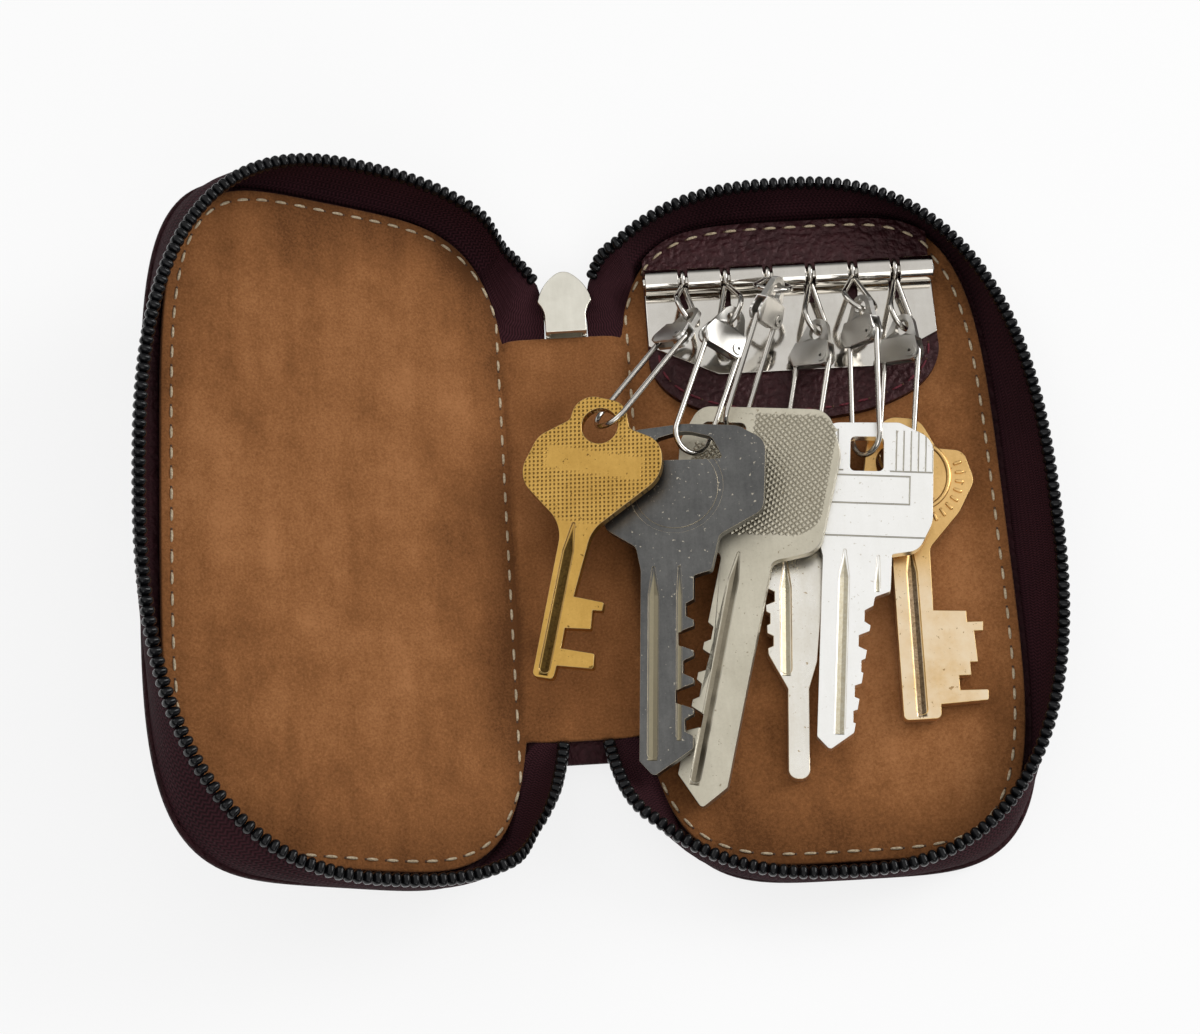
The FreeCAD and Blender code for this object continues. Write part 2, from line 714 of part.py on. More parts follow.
# Key outlines: (x, y, corner radius) from the middle of the hole, with the blade along -Y.
def brass_lever_key():
    outline = [(3.1, 4.3, 2.8), (4.8, 0.2, 1.2), (10.0, -1.0, 3.5), (11.3, -6.6, 5.0),
               (2.0, -16.8, 6.0), (1.3, -27.5, 0), (6.1, -27.7, 0.3), (6.1, -29.1, 0),
               (4.6, -29.2, 0), (4.9, -32.2, 0.2), (0.9, -32.6, 0), (0.9, -35.8, 0),
               (6.2, -35.8, 0.4), (6.5, -38.2, 0.4), (0.8, -38.6, 0), (0.7, -40.8, 0.8),
               (-2.7, -40.8, 0.8), (-2.8, -16.6, 6.0), (-11.4, -10.0, 4.5), (-9.4, -3.0, 4.0),
               (-4.8, 0.4, 1.3), (-4.7, 4.9, 3.4)]
    cuts = [disc(0, 0, 2.85, -key_thick, key_thick), groove(-1.0, -16.0, -40.0)]
    return key_blank(outline, cuts)


def wide_cylinder_key():
    outline = [(-7.6, 3.2, 3.0), (0.0, 4.0, 20.0), (8.4, 3.4, 4.0), (12.9, 0.8, 3.0),
               (12.5, -10.4, 2.5), (5.6, -14.2, 1.5), (4.4, -19.8, 0.8), (1.6, -20.6, 0.5),
               (1.6, -47.6, 0.5), (-4.4, -51.8, 0.8), (-6.6, -49.4, 0.5), (-6.6, -19.6, 0.8),
               (-7.4, -15.8, 1.5), (-12.6, -12.6, 2.5), (-12.4, 0.6, 3.5)]
    hole = [(-6.2, -1.9, 0.4), (6.2, -1.9, 0.4), (4.4, 1.7, 1.6), (0, 2.9, 6.0), (-4.4, 1.7, 1.6)]
    ring = disc(-1.2, -6.3, 7.4, key_thick / 2 - 0.2, key_thick)
    cuts = [through(hole), ring.cut(disc(-1.2, -6.3, 6.6, 0, 2 * key_thick)),
            groove(-4.6, -19.0, -49.0), groove(-0.6, -19.0, -46.0, groove_narrow)]
    cuts += cut_teeth(1.6, 1, -26.0, 4.5, (1.2, 2.4, 1.6, 2.7, 1.3))
    return key_blank(outline, cuts)


def hatched_key():
    outline = [(-4.6, 3.3, 3.0), (15.8, 5.6, 3.5), (18.9, -1.0, 6.0), (18.4, -17.4, 3.5),
               (11.4, -20.2, 1.5), (11.1, -56.4, 0.6), (7.8, -60.2, 0.6), (3.2, -55.6, 0.5),
               (3.4, -20.4, 1.2), (-4.8, -17.2, 4.0), (-6.6, -3.0, 5.0)]
    hole = [(-3.5, -1.4, 1.0), (3.5, -0.6, 1.0), (3.5, 1.5, 1.0), (-3.5, 0.8, 1.0)]
    cuts = [through(hole), groove(6.0, -19.5, -56.5)]
    cuts += cut_teeth(3.3, -1, -33.0, 4.6, (1.0, 1.8, 0.9, 2.0, 1.2))
    return key_blank(outline, cuts)


def narrow_end_key():
    outline = [(-6.5, 5.6, 5.0), (6.5, 5.6, 5.0), (8.4, -4.6, 7.0), (4.6, -14.0, 3.0),
               (3.0, -32.0, 0.8), (1.7, -36.4, 1.0), (1.7, -50.6, 1.4), (-1.6, -50.6, 1.4),
               (-1.6, -36.4, 1.0), (-4.6, -31.0, 1.0), (-5.4, -14.0, 3.0), (-8.8, -4.6, 7.0)]
    cuts = [disc(0, 0, 3.4, -key_thick, key_thick), groove(-1.8, -15.5, -34.0)]
    cuts += cut_teeth(-5.0, -1, -18.0, 3.6, (0.8, 1.4, 0.7, 1.2))
    return key_blank(outline, cuts)


def square_key():
    outline = [(-7.2, 5.0, 3.0), (5.0, 5.4, 2.0), (10.4, 2.8, 3.5), (10.5, -11.0, 5.0),
               (8.4, -15.6, 2.5), (4.3, -16.4, 0.4), (4.2, -22.4, 0.5), (1.8, -23.4, 0.6),
               (-0.8, -45.0, 0.6), (-4.4, -47.8, 0.6), (-6.4, -45.8, 0.6), (-6.4, -17.0, 0.8),
               (-7.4, -13.6, 1.5)]
    hole = [(-2.6, -2.9, 0.8), (2.7, -2.8, 0.8), (2.6, 2.9, 0.8), (-2.6, 2.8, 0.8)]
    cuts = [through(hole), groove(-3.0, -15.8, -45.0),
            groove(2.2, -16.6, -22.2, groove_narrow)]
    cuts += cut_teeth(1.0, 1, -26.5, 4.0, (0.7, 1.5, 1.0, 1.9, 2.0))
    return key_blank(outline, cuts)


def gold_lever_key():
    outline = [(-0.6, 7.0, 3.0), (4.4, 6.4, 3.0), (6.8, 1.4, 1.2), (11.0, 0.9, 2.0),
               (12.4, -4.2, 3.0), (9.6, -9.4, 4.0), (4.5, -15.2, 2.0), (4.3, -25.4, 0),
               (9.4, -25.6, 0), (9.4, -27.4, 0), (11.9, -27.4, 0), (11.8, -28.9, 0),
               (10.4, -28.9, 0), (10.6, -33.9, 0), (9.4, -33.9, 0), (9.4, -36.0, 0),
               (7.5, -36.0, 0), (7.5, -38.3, 0), (11.9, -38.3, 0.3), (11.8, -40.0, 0.3),
               (4.4, -40.5, 0), (4.3, -42.7, 0.8), (-1.5, -42.9, 0.8), (-1.5, -15.4, 2.0),
               (-4.4, -10.4, 3.0), (-5.2, -3.4, 3.0), (-4.2, 3.0, 3.0)]
    cuts = [disc(0.3, -1.0, 3.3, -key_thick, key_thick), groove(1.4, -14.5, -42.0)]
    return key_blank(outline, cuts)


# Each key with the place of its hole's middle, seen from the wire that carries it.
keys = [
    (brass_lever_key, (0.0, -0.2)),
    (wide_cylinder_key, (-0.4, 0.2)),
    (hatched_key, (-1.0, 0.2)),
    (narrow_end_key, (0.0, 1.0)),
    (square_key, (0.0, -0.2)),
    (gold_lever_key, (0.0, 2.0)),
]


def hook_frames(index):
    """Rod point, clasp point, hook axes and key axes of one hook."""
    hook = hooks[index]
    gap_x = bar_start + knuckle_length + index * knuckle_pitch + knuckle_gap / 2
    rod = vec(gap_x, bar_y, rod_z)
    lift = math.radians(hook["lift"])
    swing = math.radians(hook["swing"])
    slope = math.radians(hook["slope"])
    up_link = vec(0, math.cos(lift), -math.sin(lift))
    clasp = rod - up_link * link_length
    up_hook = vec(math.sin(swing) * math.cos(slope), math.cos(swing) * math.cos(slope),
                  math.sin(slope))
    wire = clasp - up_hook * hook_reach
    level = up_hook.cross(vec(0, 0, 1))
    level.normalize()
    across = turned(level, up_hook, -hook["turn"])
    ring = across.cross(up_hook)
    ring = ring - up_link * ring.dot(up_link)
    ring.normalize()
    tilt = FreeCAD.Rotation(vec(0, 1, 0), -hook["roll"]).multiply(
        FreeCAD.Rotation(vec(1, 0, 0), hook["pitch"]))
    normal = tilt.multVec(vec(0, 0, 1))
    key_up = turned(tilt.multVec(vec(0, 1, 0)), normal, -hook["heading"])
    return {"rod": rod, "clasp": clasp, "wire": wire,
            "link_axes": (ring, up_link), "hook_axes": (across, up_hook),
            "key_axes": (key_up.cross(normal), key_up)}


def make_hooks():
    for i in range(hook_count):
        frames = hook_frames(i)
        number = str(i + 1)
        nodes["swivel_link_" + number] = swivel_link(frames)
        for name, shape in (("clasp_plate_", clasp_plate()), ("clasp_rivet_", clasp_rivet()),
                            ("wire_loop_", wire_loop())):
            nodes[name + number] = placed(shape, frames["clasp"], *frames["hook_axes"])
        maker, hole = keys[i]
        key = maker()
        key.translate(vec(*hole))
        nodes["key_" + number] = placed(key, frames["wire"], *frames["key_axes"])


make_covers()
make_spine()
make_zip_ends()
make_slider()
make_key_bar()
make_hooks()

os.makedirs("parts", exist_ok=True)
for name, shape in nodes.items():
    print(name, len(shape.Solids), "solids", round(shape.Volume, 2), "mm3", shape.isValid())
    shape.exportStep(os.path.join("parts", name + ".step"))
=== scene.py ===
import json
import math

import bpy
from mathutils import Matrix, Vector


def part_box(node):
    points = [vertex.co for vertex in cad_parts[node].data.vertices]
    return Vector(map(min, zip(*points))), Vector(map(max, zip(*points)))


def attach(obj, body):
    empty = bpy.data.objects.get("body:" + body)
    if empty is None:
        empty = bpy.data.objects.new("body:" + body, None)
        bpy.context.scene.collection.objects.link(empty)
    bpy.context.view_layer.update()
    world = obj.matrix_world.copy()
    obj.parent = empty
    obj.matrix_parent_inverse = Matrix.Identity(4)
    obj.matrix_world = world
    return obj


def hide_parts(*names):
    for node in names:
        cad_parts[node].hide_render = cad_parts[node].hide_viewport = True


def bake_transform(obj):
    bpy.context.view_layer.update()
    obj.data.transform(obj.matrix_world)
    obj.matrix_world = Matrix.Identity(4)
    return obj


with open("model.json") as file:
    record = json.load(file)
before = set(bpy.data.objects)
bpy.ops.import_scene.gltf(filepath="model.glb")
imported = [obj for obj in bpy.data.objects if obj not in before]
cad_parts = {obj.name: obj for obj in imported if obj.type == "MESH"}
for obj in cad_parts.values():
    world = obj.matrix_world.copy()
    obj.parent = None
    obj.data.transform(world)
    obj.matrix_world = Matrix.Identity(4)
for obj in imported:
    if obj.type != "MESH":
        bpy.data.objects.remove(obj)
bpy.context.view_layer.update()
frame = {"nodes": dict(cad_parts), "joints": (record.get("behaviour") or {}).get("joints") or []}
nodes = frame["nodes"]
jointNamed = {joint["name"]: joint for joint in frame["joints"]}
print("frame loaded:", len(nodes), "nodes")

# Sizes of the case in millimetres, the same as the solids have
caseSize = {
    "coverWidth": 61.7,
    "coverHeight": 113.0,
    "spineWidth": 19.2,
    "foldHeight": 2.4,
    "leftLift": 30.0,
    "foldSoft": 1.3,         # the sheets turn over this far each side of a fold
    "coverPower": 4.3,       # how square the rounded outlines are
    "overreach": 1.0,        # how far a cover reaches past its fold
    "zipCentre": 28.2,
    "zipInner": 42.2,
    "zipOuter": 37.6,
    "zipHalf": 57.3,
    "zipPower": 2.5,
    "zipEnd": 120.0,
    "zipHeight": 10.8,
}
millimetre = 0.001
coverMiddle = caseSize["coverWidth"] / 2
coverHalf = caseSize["coverHeight"] / 2
rightFold = -coverMiddle
leftFold = rightFold - caseSize["spineWidth"]
sides = ("right", "left")


# Small helpers

def setMode(mode):
    bpy.ops.object.mode_set(mode=mode)


def setAll(thing, **settings):
    for key, value in settings.items():
        setattr(thing, key, value)
    return thing


def deselectAll():
    if bpy.context.object and bpy.context.object.mode != "OBJECT":
        setMode("OBJECT")
    bpy.ops.object.select_all(action="DESELECT")


def makeActive(obj):
    deselectAll()
    obj.select_set(True)
    bpy.context.view_layer.objects.active = obj
    return obj


def newObject(name, data):
    obj = bpy.data.objects.new(name, data)
    bpy.context.scene.collection.objects.link(obj)
    return obj


def addMesh(primitive, name, **settings):
    deselectAll()
    primitive(**settings)
    bpy.context.object.name = name
    return bpy.context.object


def moveEach(obj, rule):
    for vertex in obj.data.vertices:
        vertex.co = rule(*vertex.co)


def applyModifier(obj, kind, **settings):
    makeActive(obj)
    modifier = setAll(obj.modifiers.new(kind.lower(), kind), **settings)
    bpy.ops.object.modifier_apply(modifier=modifier.name)
    return obj


def repeatBy(obj, count, step):
    return applyModifier(obj, "ARRAY", fit_type="FIXED_COUNT", count=count, use_relative_offset=False,
                         use_constant_offset=True, constant_offset_displace=step)


def joinAll(objects, name):
    deselectAll()
    for obj in objects:
        obj.select_set(True)
    bpy.context.view_layer.objects.active = objects[0]
    bpy.ops.object.join()
    joined = bpy.context.view_layer.objects.active
    joined.name = name
    return joined


def smoothByAngle(obj, degrees):
    makeActive(obj)
    bpy.ops.object.shade_smooth_by_angle(angle=math.radians(degrees))
    return obj


def editMesh(obj, action, **settings):
    makeActive(obj)
    setMode("EDIT")
    bpy.ops.mesh.select_all(action="SELECT")
    action(**settings)
    setMode("OBJECT")
    return obj


def startPicking(obj, kind):
    makeActive(obj)
    setMode("EDIT")
    bpy.ops.mesh.select_mode(type=kind)
    bpy.ops.mesh.select_all(action="DESELECT")


def editPicked(obj, picked, action, **settings):
    # an edit on the vertices that a rule picks
    startPicking(obj, "VERT")
    setMode("OBJECT")
    for vertex in obj.data.vertices:
        vertex.select = picked(vertex)
    setMode("EDIT")
    action(**settings)
    setMode("OBJECT")
    return obj


def smoothStep(x):
    x = min(1.0, max(0.0, x))
    return x * x * (3 - 2 * x)


def toCase(u, v, z, side, low, high):
    # from a cover's own place (out from the fold, along it, up), in millimetres, to the case in metres;
    # the raised side turns up between two distances from the fold
    if side == "right":
        return Vector((rightFold + u, v, z)) * millimetre
    angle = math.radians(caseSize["leftLift"]) * smoothStep((u - low) / (high - low))
    up = z - caseSize["foldHeight"]
    x = leftFold - u * math.cos(angle) + up * math.sin(angle)
    z = caseSize["foldHeight"] + u * math.sin(angle) + up * math.cos(angle)
    return Vector((x, v, z)) * millimetre


def layOut(obj, side, low, high):
    moveEach(obj, lambda u, v, z: toCase(u, v, z, side, low, high))
    if side == "left":
        editMesh(obj, bpy.ops.mesh.flip_normals)
    return obj


def toMetres(obj):
    obj.data.transform(Matrix.Scale(millimetre, 4))
    return obj


def dress(obj, material):
    obj.data.materials.clear()
    obj.data.materials.append(material)
    return obj


def curveThrough(name, points, closed=False, steps=6):
    data = setAll(bpy.data.curves.new(name, "CURVE"), dimensions="3D", twist_mode="Z_UP",
                  resolution_u=steps)
    spline = data.splines.new("BEZIER")
    spline.bezier_points.add(len(points) - 1)
    for knot, point in zip(spline.bezier_points, points):
        setAll(knot, co=point, handle_left_type="AUTO", handle_right_type="AUTO")
    spline.use_cyclic_u = closed
    return newObject(name, data)


def repeatAlong(unit, name, points, pitch, closed=False):
    # one unit made along X, repeated at an even pitch along a line through points
    ends = points[1:] + points[:1] if closed else points[1:]
    length = sum((Vector(b) - Vector(a)).length for a, b in zip(points, ends))
    count = max(1, round(length / pitch))
    curve = curveThrough(name + "Line", points, closed)
    makeActive(unit)
    bpy.ops.object.duplicate()
    row = bpy.context.object
    row.name = name
    repeatBy(row, count, (length / count, 0, 0))
    applyModifier(row, "CURVE", object=curve, deform_axis="POS_X")
    bpy.data.objects.remove(curve)
    return row


# Outlines of the covers

def coverPoint(s, t, inset):
    # a square's point onto the rounded cover: s runs from the fold outwards, t along the fold
    reach = coverMiddle - inset if s >= 0 else coverMiddle + caseSize["overreach"]
    power = caseSize["coverPower"]
    biggest = max(abs(s), abs(t))
    if biggest == 0:
        return coverMiddle, 0.0
    share = biggest / (abs(s) ** power + abs(t) ** power) ** (1 / power)
    return coverMiddle + s * reach * share, t * (coverHalf - inset) * share


def roundPoint(angle, centre, inner, outer, half, power):
    c = math.cos(angle)
    s = math.sin(angle)
    reach = outer if c >= 0 else inner
    size = (abs(c / reach) ** power + abs(s / half) ** power) ** (-1 / power)
    return Vector((centre + size * c, size * s, 0))


def coverEdge(angle, inset):
    return roundPoint(angle, coverMiddle, coverMiddle + caseSize["overreach"], coverMiddle - inset,
                      coverHalf - inset, caseSize["coverPower"])


def teethPoint(angle):
    return roundPoint(angle, caseSize["zipCentre"], caseSize["zipInner"], caseSize["zipOuter"],
                      caseSize["zipHalf"], caseSize["zipPower"])


# Shader nodes

class Value:
    # an output of a node, for writing sums with
    def __init__(self, node, label=0):
        self.socket = node.outputs[label]
        self.tree = node.id_data

    def __add__(self, other):
        return mathNode("ADD", self, other)

    def __sub__(self, other):
        return mathNode("SUBTRACT", self, other)

    def __mul__(self, other):
        return mathNode("MULTIPLY", self, other)


def setInputs(node, inputs):
    # a Value is linked to its socket, a number or colour is set on it
    for label, value in inputs.items():
        if isinstance(value, Value):
            value.tree.links.new(value.socket, node.inputs[label])
        else:
            node.inputs[label].default_value = value
    return node


def addNode(tree, kind, inputs, **settings):
    return setInputs(setAll(tree.nodes.new("ShaderNode" + kind), **settings), inputs)


def mathNode(kind, first, second=0.0):
    tree = first.tree if isinstance(first, Value) else second.tree
    return Value(addNode(tree, "Math", {0: first, 1: second}, operation=kind))


def largest(total, *others):
    for other in others:
        total = mathNode("MAXIMUM", total, other)
    return total


def inverse(value):
    return mathNode("SUBTRACT", 1.0, value)


def zigzag(value, top=0.5):
    return mathNode("PINGPONG", value, top)


def apartBy(across, up):
    return mathNode("SQRT", across * across + up * up)


def weighed(values, weights):
    parts = [value * weight for value, weight in zip(values, weights)]
    return sum(parts[1:], parts[0])


def rangeNode(value, start=(0.0, 1.0), end=(0.0, 1.0), kind="LINEAR"):
    # from one range to another, held outside it
    return Value(addNode(value.tree, "MapRange", {
        "Value": value, "From Min": start[0], "From Max": start[1], "To Min": end[0], "To Max": end[1]
    }, interpolation_type=kind))


def stepNode(value, low, high):
    # 0 below low, 1 above high
    return rangeNode(value, (low, high), kind="SMOOTHSTEP")


def placeOn(tree, label="Object"):
    return Value(addNode(tree, "TexCoord", {}), label)


def mapped(place, **settings):
    return Value(addNode(place.tree, "Mapping", {"Vector": place, **settings}))


def axesOf(place):
    node = addNode(place.tree, "SeparateXYZ", {0: place})
    return [Value(node, axis) for axis in range(3)]


def noiseNode(place, scale, detail=4.0, roughness=0.55, label="Fac"):
    return Value(addNode(place.tree, "TexNoise", {
        "Vector": place, "Scale": scale, "Detail": detail, "Roughness": roughness}), label)


def rampNode(value, stops, colours):
    node = addNode(value.tree, "ValToRGB", {"Fac": value})
    elements = node.color_ramp.elements
    while len(elements) < len(stops):
        elements.new(0.5)
    for element, stop, colour in zip(elements, stops, colours):
        element.position = stop
        element.color = (*colour, 1)
    return Value(node, "Color")


def bumpNode(height, strength, distance):
    return Value(addNode(height.tree, "Bump", {
        "Height": height, "Strength": strength, "Distance": distance}), "Normal")


# Shader effects shared between the materials

def newGroup(name, inputs, outputs):
    group = bpy.data.node_groups.new(name, "ShaderNodeTree")
    for label, value in inputs.items():
        socket = group.interface.new_socket(label, in_out="INPUT", socket_type="NodeSocketFloat")
        socket.default_value = value
    for label in outputs:
        group.interface.new_socket(label, in_out="OUTPUT", socket_type="NodeSocketFloat")
    given = group.nodes.new("NodeGroupInput")
    return group, [Value(given, label) for label in inputs], group.nodes.new("NodeGroupOutput")


# a noise is given by its scale, detail and roughness
grainSpec = {"bends": (420, 3, 0.5), "warp": 0.002, "smooth": 0.5, "fine": (2600, 3),
             "wrinkles": (330, 4, 0.65), "wrinkle": 0.7}


def makeGrain():
    # soft leather pebbles of uneven size with creases between them
    spec = grainSpec
    group, (scale, fineShare), out = newGroup("pebbleGrain", {"Scale": 1100.0, "Fine": 0.35},
                                              ["Height", "Crease"])
    place = placeOn(group)
    warp = noiseNode(place, *spec["bends"], label="Color")
    bent = Value(addNode(group, "VectorMath", {0: warp, 1: [spec["warp"]] * 3, 2: place},
                         operation="MULTIPLY_ADD"))
    cells = addNode(group, "TexVoronoi", {"Vector": bent, "Scale": scale, "Smoothness": spec["smooth"]},
                    feature="SMOOTH_F1")
    dome = inverse(Value(cells, "Distance"))
    fine = noiseNode(place, *spec["fine"])
    wrinkle = noiseNode(place, *spec["wrinkles"])
    setInputs(out, {"Height": dome + fine * fineShare + wrinkle * spec["wrinkle"], "Crease": dome})
    return group


def makeSmudge():
    # broad uneven patches, for handling marks and nap
    group, (scale, contrast), out = newGroup("handledPatches", {"Scale": 40.0, "Contrast": 2.0}, ["Mask"])
    broad = noiseNode(placeOn(group), scale, detail=6, roughness=0.6)
    setInputs(out, {"Mask": (broad - 0.5) * contrast + 0.5})
    return group


scratchSpec = {"turn": (0, 0, 0.5), "stretch": (1, 0.12, 1), "spots": (180, 4, 0.6)}


def makeScratch():
    # fine wear lines and dull spots on plated metal
    group, (scale,), out = newGroup("metalWear", {"Scale": 500.0}, ["Mask", "Height"])
    place = placeOn(group)
    drawn = mapped(place, Rotation=scratchSpec["turn"], Scale=scratchSpec["stretch"])
    lines = noiseNode(drawn, scale, detail=5, roughness=0.7)
    spots = noiseNode(place, *scratchSpec["spots"])
    setInputs(out, {"Mask": (lines + spots) * 0.5, "Height": lines})
    return group


def makeKnit(lean=0.7):
    # ribs of a knitted tape, from the tape's own map: U along it, V up it
    group, (along, up), out = newGroup("knittedRibs", {"Along": 120.0, "Up": 9.0}, ["Height", "Mask"])
    u, v, _ = axesOf(placeOn(group, "UV"))
    rise = v * up
    stitch = zigzag(u * along + zigzag(rise, 1.0) * lean)
    setInputs(out, {"Height": stitch + zigzag(rise), "Mask": stitch * 2.0})
    return group


grain = makeGrain()
smudge = makeSmudge()
scratch = makeScratch()
knit = makeKnit()


# Materials

def newMaterial(name):
    material = bpy.data.materials.new(name)
    material.use_nodes = True
    return material, material.node_tree


def shade(material, inputs):
    setInputs(material.node_tree.nodes["Principled BSDF"], inputs)
    return material


def groupNode(tree, group, **values):
    return addNode(tree, "Group", values, node_tree=group)


def patchesOf(tree, scale, contrast):
    return Value(groupNode(tree, smudge, Scale=scale, Contrast=contrast))


leatherSpec = {"tint": (1, 0.66, 0.66, 1), "patches": (55.0, 1.6), "weights": (0.45, 0.5),
               "stops": (0.15, 0.55, 0.95), "bump": 0.6}


def leatherMaterial(name, tones, scale, depth, shine, rough):
    spec = leatherSpec
    material, tree = newMaterial(name)
    pebbles = groupNode(tree, grain, Scale=scale)
    patches = patchesOf(tree, *spec["patches"])
    tone = weighed((Value(pebbles, "Crease"), patches), spec["weights"])
    return shade(material, {
        "Base Color": rampNode(tone, spec["stops"], tones), "Roughness": rangeNode(patches, end=rough),
        "Specular IOR Level": shine, "Specular Tint": spec["tint"],
        "Normal": bumpNode(Value(pebbles, "Height"), spec["bump"], depth)})


# some of these settings give a painted shade, darker in patches towards the rim
suedeSpec = {"roughness": 0.92, "sheen": 0.06, "sheenRough": 0.5, "shine": 0.1, "broad": (28.0, 1.7),
             "spots": (150.0, 1.4), "stretch": (1, 0.22, 1), "streaks": (160, 5, 0.6),
             "nap": (2500, 4, 0.75), "weights": (0.25, 0.26, 0.16, 0.46), "shadeFrom": (0.35, 1.0),
             "shadePatches": (75.0, 3.0), "rimShade": 0.22, "stops": (0.4, 0.56, 0.71), "bump": 0.5,
             "depth": 0.00018}


def suedeMaterial(name, tones):
    spec = suedeSpec
    material, tree = newMaterial(name)
    place = placeOn(tree)
    streaks = noiseNode(mapped(place, Scale=spec["stretch"]), *spec["streaks"])
    nap = noiseNode(place, *spec["nap"])
    tone = weighed((patchesOf(tree, *spec["broad"]), streaks, patchesOf(tree, *spec["spots"]), nap),
                   spec["weights"])
    # painted shade: darker in uneven patches towards the stitched edge, where the walls rise round the
    # lining
    rim = Value(addNode(tree, "Attribute", {}, attribute_name="rim"), "Fac")
    worn = rangeNode(rim, spec["shadeFrom"]) * patchesOf(tree, *spec["shadePatches"]) * spec["rimShade"]
    return shade(material, {
        "Base Color": rampNode(tone - worn, spec["stops"], tones), "Roughness": spec["roughness"],
        "Sheen Weight": spec["sheen"], "Sheen Roughness": spec["sheenRough"],
        "Specular IOR Level": spec["shine"],
        "Normal": bumpNode(nap + streaks, spec["bump"], spec["depth"])})


metalSpec = {"patches": (220.0, 1.0), "weights": (0.5, 0.5), "stops": (0.3, 0.6), "bump": 0.25}


def metalMaterial(name, colour, worn, rough, scale=500.0, depth=0.000003):
    spec = metalSpec
    material, tree = newMaterial(name)
    wear = groupNode(tree, scratch, Scale=scale)
    tone = weighed((Value(wear, "Mask"), patchesOf(tree, *spec["patches"])), spec["weights"])
    return shade(material, {
        "Base Color": rampNode(tone, spec["stops"], (worn, colour)), "Metallic": 1.0,
        "Roughness": rangeNode(tone, end=rough[::-1]),
        "Normal": bumpNode(Value(wear, "Height"), spec["bump"], depth)})


threadSpec = {"roughness": 0.75, "fibre": (3000, 3), "stops": (0.3, 0.7), "bump": 0.5, "depth": 0.0001}


def threadMaterial(name, *tones):
    spec = threadSpec
    material, tree = newMaterial(name)
    fibre = noiseNode(placeOn(tree), *spec["fibre"])
    return shade(material, {
        "Base Color": rampNode(fibre, spec["stops"], tones), "Roughness": spec["roughness"],
        "Normal": bumpNode(fibre, spec["bump"], spec["depth"])})


clothSpec = {"roughness": 0.85, "shine": 0.12, "along": 420.0, "up": 13.0, "patches": (90.0, 1.5),
             "weights": (0.6, 0.3), "stops": (0.1, 0.85), "bump": 0.7, "depth": 0.00025}


def tapeMaterial(name, *tones):
    spec = clothSpec
    material, tree = newMaterial(name)
    ribs = groupNode(tree, knit, Along=spec["along"], Up=spec["up"])
    tone = weighed((Value(ribs, "Mask"), patchesOf(tree, *spec["patches"])), spec["weights"])
    return shade(material, {
        "Base Color": rampNode(tone, spec["stops"], tones), "Roughness": spec["roughness"],
        "Specular IOR Level": spec["shine"],
        "Normal": bumpNode(Value(ribs, "Height"), spec["bump"], spec["depth"])})


plasticSpec = {"shine": 0.22, "patches": (300.0, 1.5), "stops": (0.2, 0.8), "rough": (0.13, 0.24)}


def plasticMaterial(name, *tones):
    spec = plasticSpec
    material, tree = newMaterial(name)
    patches = patchesOf(tree, *spec["patches"])
    return shade(material, {
        "Base Color": rampNode(patches, spec["stops"], tones),
        "Roughness": rangeNode(patches, end=spec["rough"]), "Specular IOR Level": spec["shine"]})


outerLeather = leatherMaterial(
    "burgundyGrain", [(0.008, 0.0024, 0.003), (0.022, 0.0065, 0.0085), (0.042, 0.0125, 0.0165)],
    scale=1100.0, depth=0.00055, shine=0.16, rough=(0.48, 0.62))
patchLeather = leatherMaterial(
    "burgundyPebble", [(0.009, 0.0021, 0.0027), (0.027, 0.0068, 0.0085), (0.052, 0.0135, 0.0165)],
    scale=950.0, depth=0.0006, shine=0.4, rough=(0.36, 0.52))
board = leatherMaterial(
    "greyBoard", [(0.05, 0.045, 0.04), (0.09, 0.085, 0.08), (0.13, 0.12, 0.11)],
    scale=1500.0, depth=0.0001, shine=0.3, rough=(0.6, 0.8))
suede = suedeMaterial("tanSuede", [(0.12, 0.046, 0.0145), (0.243, 0.097, 0.0325), (0.37, 0.161, 0.062)])
tapeCloth = tapeMaterial("burgundyTape", (0.009, 0.0025, 0.0034), (0.052, 0.0145, 0.02))
toothBlack = plasticMaterial("blackCoil", (0.002, 0.002, 0.0025), (0.006, 0.006, 0.007))
creamThread = threadMaterial("creamThread", (0.3, 0.22, 0.13), (0.62, 0.52, 0.36))
redThread = threadMaterial("redThread", (0.06, 0.006, 0.012), (0.2, 0.02, 0.035))
# the needle holes' colour is painted shade
holeShade = threadMaterial("needleHoleShade", (0.05, 0.022, 0.009), (0.09, 0.04, 0.017))
roughCast = 0.00002          # depth of wear on cast and cut metal, plated metal has less
pewter = metalMaterial("pewterSlider", (0.84, 0.81, 0.71), (0.66, 0.63, 0.54), (0.3, 0.46), 700.0, roughCast)
chrome = metalMaterial("brightPlate", (0.66, 0.63, 0.58), (0.55, 0.52, 0.47), (0.05, 0.12))
hookPlate = metalMaterial("hookPlate", (0.6, 0.57, 0.52), (0.5, 0.47, 0.43), (0.12, 0.2))
claspMetal = metalMaterial("satinClasp", (0.64, 0.62, 0.58), (0.54, 0.52, 0.48), (0.3, 0.4))
print("materials made:", len(bpy.data.materials))


# Leather and suede sheets: a rounded cover with half of the spine strip grown from its fold side

sheetSpec = {
    "outer_leather": {"inset": 0.0, "top": 1.2, "spineTop": 3.0, "thick": 1.2, "low": -36.5,
                      "high": 34.8, "material": outerLeather, "slot": "outer_leather", "edge": 0.45},
    "lining": {"inset": 2.3, "top": 3.0, "spineTop": 4.0, "thick": 1.0, "low": -33.0, "high": 35.0,
               "material": suede, "slot": "suede_lining", "edge": 0.3},
}
sheetGrid = {"across": 46, "along": 84, "stripSteps": 8, "stepReach": 100, "straighten": 3,
             "edgeAngle": 50, "edgeSegments": 3, "smooth": 40, "stripRim": 0.8, "rimPower": 4,
             "near": 0.001, "seamNear": 0.01}


